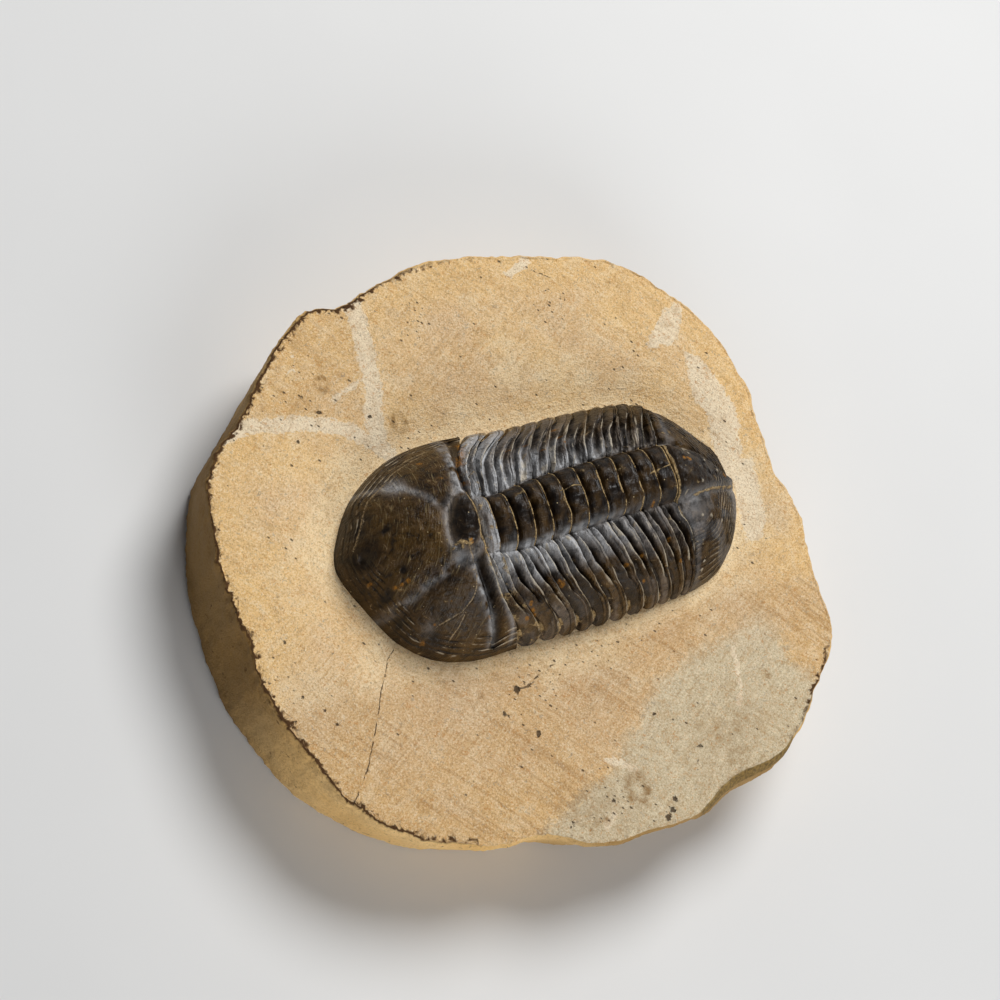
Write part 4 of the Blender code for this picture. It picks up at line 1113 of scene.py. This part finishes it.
def face_marks(x, y, rows):
    """Everything the limestone's finish reads, for each point of the slab."""
    veins = (width - np.abs(beside_path(path, x, y)) for path, width in BAND_HALF_WIDTH)
    pale = deepest(x, (inside_depth(patch, x, y) for patch in PALE_PATCHES))
    crack, which = nearest_of(CRACK_PATHS, x, y)
    holes = (radius - np.hypot(x - hole_x, y - hole_y) for hole_x, hole_y, radius in HOLES)
    rings = (np.hypot(x - ring_x, (y - ring_y) * 0.75) / radius for ring_x, ring_y, radius in STAINS)
    stain = patches(x, y, GREEN_SPOTS, 85)
    below = rows["down"] * SLAB_THICKNESS - np.clip(rows["to_rim"], 0, 60) * (rows["down"] == 0)
    wander = 3.0 * mottle(x, y, size=7.0, octaves=3, seed=81)
    in_grey = inside_depth(GREY_ZONE, x, y)
    grey = np.clip(in_grey + 0.4 * wander, -9, 9)
    # Darker towards the bottom of the face: partly the stone's tone, partly painted shade.
    lower_tone_and_painted_shade = 0.95 * smooth(-14.0, -20.0, y) * smooth(4.0, -2.0, in_grey)
    upper_field = 0.6 * smooth(-0.8, 0.8, inside_depth(BROWN_QUAD, x, y))
    # Painted shade on the wall: darker on the left side, and along the bottom further right, where shade
    # falls.
    shaded = 0.75 * smooth(-28.0, -10.0, y) * smooth(8.0, -8.0, x)
    streaky = smooth(-15.0, -21.0, y) * smooth(2.0, -1.0, grey) + 0.3 * smooth(20.0, 26.0, y)
    return {
        "pale": deepest(x, veins, pale), "grey": grey, "lilac": patches(x, y, LILAC_SPOTS, 82),
        "gold": 1 - smooth(1.0, 11.0, rows["to_rim"] + wander),
        # Pale close to the fossil: partly fresh surface, partly painted light against the dish's shade.
        "fresh_and_painted_light": np.maximum(patches(x, y, FRESH_AND_PAINTED_LIGHT_SPOTS, 84), 1 - smooth(1.0, 6.0, rows["away"] + wander)),
        "brown": np.max([patches(x, y, BROWN_SPOTS, 83), upper_field, lower_tone_and_painted_shade], axis=0),
        "crack": crack, "crack_width": CRACK_HALF_WIDTHS[which],
        "crack_near": close_by(crack) * (below < 1.5),
        "hole": np.where(below < 0.6, deepest(x, holes), NOWHERE), "speckle": strongest(x, y, SPECKLED),
        "stain": deepest(x, (0.95 * bell(ring, 0.75, 0.3) for ring in rings), stain), "below": below,
        "crust": rows["crust"], "away": np.clip(rows["away"], -2, 20), "rounds": rows["rounds"],
        # The wall's painted shade, left and bottom.
        "deep_and_painted_shade": np.maximum(shaded, 0.6 * smooth(-38.0, -44.0, y) * smooth(15.0, 30.0, x)),
        "streaky": streaky * smooth(1.5, 0.0, below),
        "facet": smooth(0.2, 0.5, rows["facet"]) * smooth(-0.1, 0.3, below) * (1 - smooth(4.2, 5.0, below))}


print("the stone's finish reads marks for", len(HOLES), "holes and", len(CRACK_PATHS), "cracks")

# %% [markdown]
# The slab's points are laid on that form, the two ends of the grid are merged, and a face each fills the
# hidden bed under the fossil and the middle of the back.

# %% The slab itself
def bridged_block(piece):
    """Merges the grid's two ends and fills the bed and the middle of the back."""
    only(piece)
    bpy.ops.object.mode_set(mode="EDIT")
    bpy.ops.mesh.select_all(action="SELECT")
    bpy.ops.mesh.remove_doubles(threshold=1e-7)
    bpy.ops.mesh.select_mode(type="EDGE")
    bpy.ops.mesh.select_all(action="DESELECT")
    bpy.ops.mesh.select_non_manifold()
    bpy.ops.mesh.edge_face_add()
    bpy.ops.mesh.select_all(action="SELECT")
    bpy.ops.mesh.normals_make_consistent(inside=False)
    bpy.ops.object.mode_set(mode="OBJECT")
    bpy.ops.object.shade_smooth()


slab, u, v = add_grid("matrix_slab_stone", SPOKES, FACE_ROWS + WALL_ROWS + BACK_ROWS)
x, y, z, rows = place_slab(u, v)
set_points(slab, np.stack([x, y, z], axis=1), face_marks(x, y, rows))
bridged_block(slab)
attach(slab, "root")
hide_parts("matrix_slab")
print("slab:", len(slab.data.vertices), "points,", len(slab.data.polygons), "faces")

# %% [markdown]
# Finishes are made of nodes. One small function adds a node with its settings, joins it to what feeds it
# and gives one of its outputs. Another turns a colour written as a web colour into the linear light that
# the renderer needs.

# %% A helper for nodes and one for colours
def node(tree, kind, inputs=(), out=0, **settings):
    """Adds a node, sets its properties, fills or links its inputs, and gives one of its outputs."""
    made = tree.nodes.new("ShaderNode" + kind)
    for key, value in settings.items():
        setattr(made, key, value)
    pairs = inputs.items() if isinstance(inputs, dict) else enumerate(inputs)
    for key, value in pairs:
        if isinstance(value, bpy.types.NodeSocket):
            tree.links.new(value, made.inputs[key])
        else:
            made.inputs[key].default_value = value
    return made.outputs[out]


def linear(colour):
    """A colour such as c8a06a as linear red, green, blue and 1."""
    parts = [int(colour[i:i + 2], 16) / 255 for i in (0, 2, 4)]
    return tuple(c / 12.92 if c <= 0.04045 else ((c + 0.055) / 1.055) ** 2.4 for c in parts) + (1.0,)


print("limestone tan in linear light:", [round(c, 3) for c in linear("d8b885")])

# %% [markdown]
# The matrix is a fine-grained limestone, tan from a little iron, that was blasted and scraped flat. Its
# face is a mosaic of calcite grains about a quarter of a millimetre across, so it looks matt. The air pen
# left faint strokes, all one way on the open face and round the fossil close to it. The patterns read
# object coordinates in metres, so a scale of 1 / (0.25 * MM) means grains 0.25 mm apart.

# %% Limestone: its grains and strokes
limestone = bpy.data.materials.new("tan_limestone_blasted")
limestone.use_nodes = True
stone = limestone.node_tree
place = node(stone, "TexCoord", out="Object")
names = ("grey", "gold", "lilac", "fresh_and_painted_light", "brown", "pale", "crack", "crack_width", "crack_near", "hole",
         "speckle", "stain", "below", "crust", "away", "facet", "deep_and_painted_shade", "streaky")
marks = {name: node(stone, "Attribute", out="Fac", attribute_name=name) for name in names}
rounds = node(stone, "Attribute", out="Vector", attribute_name="rounds")

STONE_NOISE = (("grain", 0.25, 3.0, 0.6), ("rust", 0.6, 4.0, 1.5), ("coarse", 1.1, 3.0, 0.8),
               ("blotch", 3.4, 4.0, 1.0), ("cloud", 11.0, 4.0, 0.0), ("sweep", 20.0, 1.0, 0.0))
noise = {}
for name, apart, detail, bend in STONE_NOISE:
    settings = {"Vector": place, "Scale": 1 / (apart * MM), "Detail": detail, "Distortion": bend}
    noise[name] = node(stone, "TexNoise", settings, out="Fac")
grain, rust, coarse, blotch, cloud, sweep = noise.values()
ragged = node(stone, "Math", (coarse, 0.5), operation="SUBTRACT")

STROKES_APART, STREAKS_APART = 0.5, 1.3
DOWN_LEFT, DOWN_RIGHT = -50, 34
LAID = ((DOWN_LEFT, 7, STROKES_APART, 3.0, 0.0), (DOWN_RIGHT, 7, STROKES_APART, 3.0, 0.0),
        (DOWN_LEFT, 14, STREAKS_APART, 4.0, 1.2))
lain = []
for angle, longer, apart, detail, bend in LAID:
    turned = (place, (0, 0, 0), (0, 0, math.radians(angle)), (longer, 1, 1))
    laid = node(stone, "Mapping", turned, vector_type="TEXTURE")
    settings = {"Vector": laid, "Scale": 1 / (apart * MM), "Detail": detail, "Distortion": bend}
    lain.append(node(stone, "TexNoise", settings, out="Fac"))
streaks = node(stone, "MapRange", (lain[2], 0.52, 0.66))
strokes = node(stone, "MixRGB", (node(stone, "MapRange", (sweep, 0.50, 0.56)), lain[0], lain[1]))
settings = {"Vector": rounds, "Scale": 1 / (STROKES_APART * MM), "Detail": 3.0}
round_strokes = node(stone, "TexNoise", settings, out="Fac")
close_in = node(stone, "MapRange", (marks["away"], 4.0, 9.0, 0.9, 0.0))
strokes = node(stone, "MixRGB", (close_in, strokes, round_strokes))
print("patterns of the limestone and how far apart they are, mm:", {row[0]: row[1] for row in STONE_NOISE})

# %% [markdown]
# The colour is laid on in thin coats, most as the stone's own history is: iron makes the rim golden and the
# middle is greyer. Close to the fossil the face is pinkish white, partly fresh surface and partly painted
# light against the shade of the dish round the fossil, and towards the bottom it is darker, partly its tone
# and partly painted shade. On that lie the light and dark grains, rust, pale veins of cleaner calcite, dark
# specks, holes, cracks and stains.

# %% Limestone: the face
edges = {}
WOBBLES = (("grey", 6.0), ("pale", 2.0), ("brown", 1.2), ("hole", 1.1), ("crack", 0.6), ("below", 3.6),
           ("facet", 1.0))
for name, wobble in WOBBLES:
    edges[name] = node(stone, "Math", (ragged, wobble, marks[name]), operation="MULTIPLY_ADD")
spotty = node(stone, "MapRange", (coarse, 0.3, 0.6))
stained = node(stone, "Math", (marks["stain"], spotty), operation="MULTIPLY")
streaked = node(stone, "Math", (streaks, marks["streaky"]), operation="MULTIPLY")
clouds = node(stone, "MapRange", (cloud, 0.35, 0.65))
face = node(stone, "MixRGB", (clouds, linear("ecc68c"), linear("e0bc8d")))
for pattern, start, full, most, tint in [
    (marks["gold"], 0.0, 1.0, 0.75, "eac07e"), (edges["grey"], -0.9, 1.0, 0.92, "c6b89a"),
    (marks["lilac"], 0.0, 1.0, 0.75, "dcc6a6"), (edges["brown"], 0.2, 0.8, 0.55, "c49c6a"),
    (marks["fresh_and_painted_light"], 0.0, 1.0, 0.6, "f8deb0"), (edges["pale"], -0.14, 0.14, 0.85, "f0dfc2"),
    (blotch, 0.52, 0.64, 0.24, "f0debc"), (blotch, 0.47, 0.35, 0.22, "bf9a66"),
    (streaked, 0.0, 1.0, 0.5, "a87c46"), (strokes, 0.52, 0.70, 0.30, "ecd9b4"),
    (strokes, 0.47, 0.32, 0.30, "a98454"), (grain, 0.50, 0.70, 0.50, "f6e6c6"),
    (grain, 0.47, 0.30, 0.55, "987345"), (coarse, 0.54, 0.75, 0.40, "b48e5c"),
    (rust, 0.59, 0.68, 0.55, "bd7f36"), (rust, 0.40, 0.31, 0.5, "968a7a"),
    (stained, 0.0, 1.0, 0.85, "80591c"),
]:
    share = node(stone, "MapRange", (pattern, start, full, 0.0, most))
    face = node(stone, "MixRGB", (share, face, linear(tint)))
print("coats of colour on the face, nodes so far:", len(stone.nodes))

# %% [markdown]
# Specks are cells of a Voronoi pattern half a millimetre apart, of which only some are drawn: few on the
# open face, many where the speckle mark says so. Holes and cracks follow the sketched places, with ragged
# edges.

# %% Limestone: specks, holes and cracks
SPECKS_APART, SPECK_LENGTH = 0.55, 1.8
turned = (place, (0, 0, 0), (0, 0, math.radians(DOWN_LEFT)), (SPECK_LENGTH, 1, 1))
tilted = node(stone, "Mapping", turned, vector_type="TEXTURE")
cell = node(stone, "TexVoronoi", {"Vector": tilted, "Scale": 1 / (SPECKS_APART * MM)}, out="Distance")
chance = node(stone, "SeparateColor", (cell.node.outputs["Color"],))
often = node(stone, "Math", (marks["speckle"], 0.8, 0.035), operation="MULTIPLY_ADD")
picked = node(stone, "Math", (chance, often), operation="LESS_THAN")
beyond = node(stone, "Math", (chance.node.outputs[1], -0.15, cell), operation="MULTIPLY_ADD")
speck = node(stone, "Math", (picked, node(stone, "MapRange", (beyond, 0.18, 0.05))), operation="MULTIPLY")
hole = node(stone, "MapRange", (edges["hole"], -0.06, 0.10, 0.0, 0.9))
slit = node(stone, "Math", (edges["crack"],), operation="ABSOLUTE")
slit = node(stone, "Math", (slit, marks["crack_width"]), operation="SUBTRACT")
slit = node(stone, "MapRange", (slit, 0.045, -0.02))
for share in (marks["crack_near"], node(stone, "MapRange", (coarse, 0.58, 0.46, 0.0, 0.85))):
    slit = node(stone, "Math", (slit, share), operation="MULTIPLY")
print("specks, mm apart:", SPECKS_APART)

# %% [markdown]
# The wall was never scraped: it keeps a brown weathering crust, most of all along the rim, and the upright
# marks of a chisel. Its left side and its bottom are painted darker, as painted shade. The chip's broken
# surface is darker than either.

# %% Limestone: the wall and its crust
TOOLED_APART = 0.4
upright = node(stone, "Mapping", (place, (0, 0, 0), (0, 0, 0), (1, 1, 0.8)))
settings = {"Vector": upright, "Scale": 1 / (TOOLED_APART * MM), "Detail": 4.0}
tooled = node(stone, "TexNoise", settings, out="Fac")
wall = node(stone, "MixRGB", (clouds, linear("e8bc76"), linear("ecc688")))
# The last coat is painted shade on the left and bottom walls.
for pattern, start, full, most, tint in [
    (tooled, 0.47, 0.65, 0.35, "9a7640"), (tooled, 0.44, 0.32, 0.6, "d0ac70"),
    (coarse, 0.66, 0.74, 0.8, "4c3516"), (marks["deep_and_painted_shade"], 0.0, 1.0, 1.0, "68460c"),
]:
    share = node(stone, "MapRange", (pattern, start, full, 0.0, most))
    wall = node(stone, "MixRGB", (share, wall, linear(tint)))
crusty = node(stone, "Math", (marks["crust"], ragged), operation="ADD")
crust = node(stone, "MapRange", (crusty, 0.35, 0.65))
for start, full in ((-0.45, 0.05), (2.0, 1.0)):
    share = node(stone, "MapRange", (edges["below"], start, full))
    crust = node(stone, "Math", (crust, share), operation="MULTIPLY")
broken = node(stone, "MapRange", (tooled, 0.38, 0.62))
broken = node(stone, "MixRGB", (broken, linear("5e4a22"), linear("94783e")))
on_wall = node(stone, "Math", (marks["crust"], 1.2, marks["below"]), operation="MULTIPLY_ADD")
outside = node(stone, "MixRGB", (node(stone, "MapRange", (on_wall, 1.3, 1.7)), face, wall))
chipped = node(stone, "MapRange", (edges["facet"], 0.25, 0.75, 0.0, 0.85))
outside = node(stone, "MixRGB", (chipped, outside, broken))
faint_speck = node(stone, "Math", (speck, 0.85), operation="MULTIPLY")
# The dark colour in the holes is painted shade.
for share, tint in ((faint_speck, "5c4a33"), (crust, "4c3010"), (hole, "44321d"), (slit, "5e4629")):
    outside = node(stone, "MixRGB", (share, outside, linear(tint)))
dressed = stone.nodes["Principled BSDF"]
stone.links.new(outside, dressed.inputs["Base Color"])
print("limestone nodes so far:", len(stone.nodes))

# %% [markdown]
# The blasted face is matt, near 0.9, and only the clean grains shine a little. Limestone, with air in its
# pores, bends light about 1.5 times, and the denser calcite of the shell 1.6 times. What is dark is mostly
# a hollow, so the same patterns that colour the specks, holes and cracks also press them in; the dark colour
# in the holes is painted shade.

# %% Limestone: roughness and bump
LIMESTONE_IOR, LIMESTONE_SHINE, LIMESTONE_BUMP = 1.5, 0.35, 0.42
height = node(stone, "Math", (grain, 0.45), operation="MULTIPLY")
for pattern, share in ((coarse, 0.45), (strokes, 0.22), (speck, -0.6), (hole, -1.6), (slit, -1.2)):
    height = node(stone, "Math", (pattern, share, height), operation="MULTIPLY_ADD")
bump = node(stone, "Bump", {"Strength": 1.0, "Distance": LIMESTONE_BUMP * MM, "Height": height})
stone.links.new(bump, dressed.inputs["Normal"])
stone.links.new(node(stone, "MapRange", (grain, 0.3, 0.8, 0.95, 0.68)), dressed.inputs["Roughness"])
dressed.inputs["IOR"].default_value = LIMESTONE_IOR
dressed.inputs["Specular IOR Level"].default_value = LIMESTONE_SHINE
slab.data.materials.append(limestone)
print("limestone nodes:", len(stone.nodes))

# %% [markdown]
# The shell is calcite, dark brown to black with organic matter, polished a little by cleaning. That gives
# a semi-gloss like worn horn, with soft highlights on the crests; the black in the furrows is partly painted
# shade. The cleaning tool left fine scratches across the head, which are drawn 0.3 mm apart so that they
# show.

# %% Shell: its body colour
CLEANED_ROUND = (-3.0, 9.0, 20.0)
ARC_SHARE = 0.16
SCRATCHES_APART = 0.3
shell = bpy.data.materials.new("dark_calcite_shell")
shell.use_nodes = True
horn = shell.node_tree
place = node(horn, "TexCoord", out="Object")
names = ("rock", "haze", "wear_and_painted_highlight", "dark_and_painted_shade", "ochre", "seam", "seam_near", "scratched")
marks = {name: node(horn, "Attribute", out="Fac", attribute_name=name) for name in names}
offset = node(horn, "VectorMath", (place, tuple(to_scene(CLEANED_ROUND))), operation="SUBTRACT")
arcs = node(horn, "CombineXYZ", (node(horn, "VectorMath", (offset,), out="Value", operation="LENGTH"),))
arcs = node(horn, "VectorMath", (offset, (ARC_SHARE,) * 3, arcs), operation="MULTIPLY_ADD")
noise = []
for where, apart, detail, bend in ((place, 0.32, 3.0, 0.0), (place, 1.3, 4.0, 0.5), (place, 5.5, 3.0, 0.0),
                                   (arcs, SCRATCHES_APART, 3.0, 0.8)):
    settings = {"Vector": where, "Scale": 1 / (apart * MM), "Detail": detail, "Distortion": bend}
    noise.append(node(horn, "TexNoise", settings, out="Fac"))
fine, middle, broad, scratch = noise
uneven = node(horn, "Math", (middle, 0.5), operation="SUBTRACT")
scratches = node(horn, "MapRange", (scratch, 0.57, 0.69))
scratches = node(horn, "Math", (scratches, marks["scratched"]), operation="MULTIPLY")
# The near-black coat follows the dark mark: the shell's own black plus painted shade in the furrows, pits and
# troughs.
deep_and_painted_shade = node(horn, "MapRange", (middle, 0.68, 0.46, 0.75, 1.0))
deep_and_painted_shade = node(horn, "Math", (marks["dark_and_painted_shade"], deep_and_painted_shade), operation="MULTIPLY")
body = node(horn, "MixRGB", (node(horn, "MapRange", (broad, 0.38, 0.62)), linear("301e04"), linear("4e370f")))
for pattern, start, full, most, tint in [
    (middle, 0.50, 0.66, 0.7, "584020"), (middle, 0.47, 0.34, 0.85, "180e05"),
    (fine, 0.54, 0.70, 0.25, "6c5430"), (scratches, 0.0, 1.0, 0.5, "9a875f"), (deep_and_painted_shade, 0.0, 1.0, 1.0, "100803"),
]:
    share = node(horn, "MapRange", (pattern, start, full, 0.0, most))
    body = node(horn, "MixRGB", (share, body, linear(tint)))
print("scratches on the head, mm apart:", SCRATCHES_APART)

# %% [markdown]
# Over the dark shell lie a blue-grey haze of fine rock flour, pale lines along the crests that are partly
# wear and partly painted highlight, tan rock left in the joints, thin pale sutures and orange iron. Each is
# thin, so the noise of the shell shows through it and its edges are ragged.

# %% Shell: what lies on it
CRUMBS_APART = 0.7
hazy = node(horn, "Math", (fine, 0.5, middle), operation="MULTIPLY_ADD")
hazy = node(horn, "MapRange", (hazy, 0.50, 0.80, 0.3, 1.0))
hazy = node(horn, "Math", (hazy, marks["haze"]), operation="MULTIPLY")
wear_and_painted_highlight, rock, thread = (node(horn, "Math", (uneven, wobble, marks[name]), operation="MULTIPLY_ADD")
                      for name, wobble in (("wear_and_painted_highlight", 1.2), ("rock", 2.2), ("seam", 0.3)))
rock = node(horn, "MapRange", (rock, 0.35, 0.65, 0.0, 0.85))
rock_tone = node(horn, "MapRange", (fine, 0.38, 0.62))
rock_tone = node(horn, "MixRGB", (rock_tone, linear("7c6440"), linear("bca274")))
thread = node(horn, "MapRange", (node(horn, "Math", (thread,), operation="ABSOLUTE"), 0.12, 0.05))
for share in (node(horn, "MapRange", (fine, 0.42, 0.55, 0.1, 0.8)), marks["seam_near"]):
    thread = node(horn, "Math", (thread, share), operation="MULTIPLY")
ochre = node(horn, "MapRange", (fine, 0.38, 0.55, 0.15, 0.85))
ochre = node(horn, "Math", (marks["ochre"], ochre), operation="MULTIPLY")
cell = node(horn, "TexVoronoi", {"Vector": place, "Scale": 1 / (CRUMBS_APART * MM)}, out="Distance")
chance = node(horn, "SeparateColor", (cell.node.outputs["Color"],))
crumb = node(horn, "Math", (chance, 0.10), operation="LESS_THAN")
crumb_core = node(horn, "MapRange", (cell, 0.16, 0.08, 0.0, 0.7))
crumb = node(horn, "Math", (crumb, crumb_core), operation="MULTIPLY")
thin_haze = node(horn, "Math", (hazy, 0.9), operation="MULTIPLY")
# The pale crest lines are partly wear and partly painted highlight.
rubbed_and_highlit = node(horn, "MapRange", (wear_and_painted_highlight, 0.35, 0.85, 0.0, 0.75))
for share, tone in ((thin_haze, linear("cacccf")), (rubbed_and_highlit, linear("bcb09a")), (rock, rock_tone),
                    (thread, linear("a08a68")), (ochre, linear("9c681c")), (crumb, linear("c9b489"))):
    body = node(horn, "MixRGB", (share, body, tone))
cleaned = horn.nodes["Principled BSDF"]
horn.links.new(body, cleaned.inputs["Base Color"])
print("shell nodes so far:", len(horn.nodes))

# %% [markdown]
# The black rings are the glossiest part and the haze and the rock dull what they cover. The black parts
# are also the smoothest, so the bump fades there.

# %% Shell: gloss and bump
SHELL_IOR, SHELL_SHINE, SHELL_BUMP = 1.6, 0.22, 0.45
rough = node(horn, "Math", (scratch, 0.4, middle), operation="MULTIPLY_ADD")
rough = node(horn, "MapRange", (rough, 0.5, 0.9, 0.32, 0.55))
left_on = node(horn, "Math", (rock, ochre), operation="MAXIMUM")
for pattern, share in ((hazy, 0.2), (left_on, 0.4), (deep_and_painted_shade, 0.02)):
    rough = node(horn, "Math", (pattern, share, rough), operation="MULTIPLY_ADD")
horn.links.new(rough, cleaned.inputs["Roughness"])
height = node(horn, "Math", (middle, 0.5), operation="MULTIPLY")
for pattern, share in ((scratch, 0.35), (fine, 0.25)):
    height = node(horn, "Math", (pattern, share, height), operation="MULTIPLY_ADD")
smoother = node(horn, "MapRange", (deep_and_painted_shade, 0.0, 1.0, 1.0, 0.35))
height = node(horn, "Math", (height, smoother), operation="MULTIPLY")
height = node(horn, "Math", (rock, 0.5, height), operation="MULTIPLY_ADD")
bump = node(horn, "Bump", {"Strength": 1.0, "Distance": SHELL_BUMP * MM, "Height": height})
horn.links.new(bump, cleaned.inputs["Normal"])
cleaned.inputs["IOR"].default_value = SHELL_IOR
cleaned.inputs["Specular IOR Level"].default_value = SHELL_SHINE
for piece in [head, tail] + segments:
    piece.data.materials.append(shell)
print("shell nodes:", len(horn.nodes))

# %% [markdown]
# The studio is a pale floor, one large soft light from beyond the tail that rakes across the ribs, and a
# weaker one from the near side, so that the slab's left wall stays in shade. The room itself gives little
# light, or the black shell would look grey.

# %% Studio
LIGHTS = (("key", (0.40, 0.42, 0.81), 0.62, 0.34, 3.7),
          ("table_bounce", (-0.10, -0.88, 0.36), 0.55, 0.40, 1.7))
AIM = Vector((0.0, 0.0, 0.018))
ROOM_LIGHT = 0.11
for name, direction, away, size, power in LIGHTS:
    light = bpy.data.lights.new(name, "AREA")
    light.shape, light.size, light.energy = "DISK", size, power
    holder = bpy.data.objects.new(name, light)
    holder.location = AIM + Vector(direction).normalized() * away
    holder.rotation_euler = Vector(direction).to_track_quat("Z", "Y").to_euler()
    bpy.context.scene.collection.objects.link(holder)
world = bpy.data.worlds.new("soft_room")
world.use_nodes = True
world.node_tree.nodes["Background"].inputs["Color"].default_value = linear("e6e8ec")
world.node_tree.nodes["Background"].inputs["Strength"].default_value = ROOM_LIGHT
bpy.context.scene.world = world
bpy.context.scene.view_settings.view_transform = "Standard"

# %% [markdown]
# The floor is a sheet of studio paper, nearly white, with the faint clouding that such paper has. It lies a
# hair below the slab's flat back, so that the two faces don't share one plane.

# %% Floor
FLOOR_SIZE, FLOOR_GAP, CLOUDING_SCALE, PAPER_ROUGHNESS = 3.0, 0.00005, 30.0, 0.7
bpy.ops.object.select_all(action="DESELECT")
bpy.ops.mesh.primitive_plane_add(size=FLOOR_SIZE, location=(0, 0, -FLOOR_GAP))
floor = bpy.context.object
floor.name = "floor"
paper = bpy.data.materials.new("studio_paper")
paper.use_nodes = True
sheet = paper.node_tree
place = node(sheet, "TexCoord", out="Object")
clouding = node(sheet, "TexNoise", {"Vector": place, "Scale": CLOUDING_SCALE, "Detail": 2.0}, out="Fac")
clouding = node(sheet, "MapRange", (clouding, 0.3, 0.7))
tone = node(sheet, "MixRGB", (clouding, linear("dcdcdb"), linear("dededd")))
sheet.links.new(tone, sheet.nodes["Principled BSDF"].inputs["Base Color"])
sheet.nodes["Principled BSDF"].inputs["Roughness"].default_value = PAPER_ROUGHNESS
floor.data.materials.append(paper)
print("floor, m:", tuple(round(side, 1) for side in floor.dimensions))
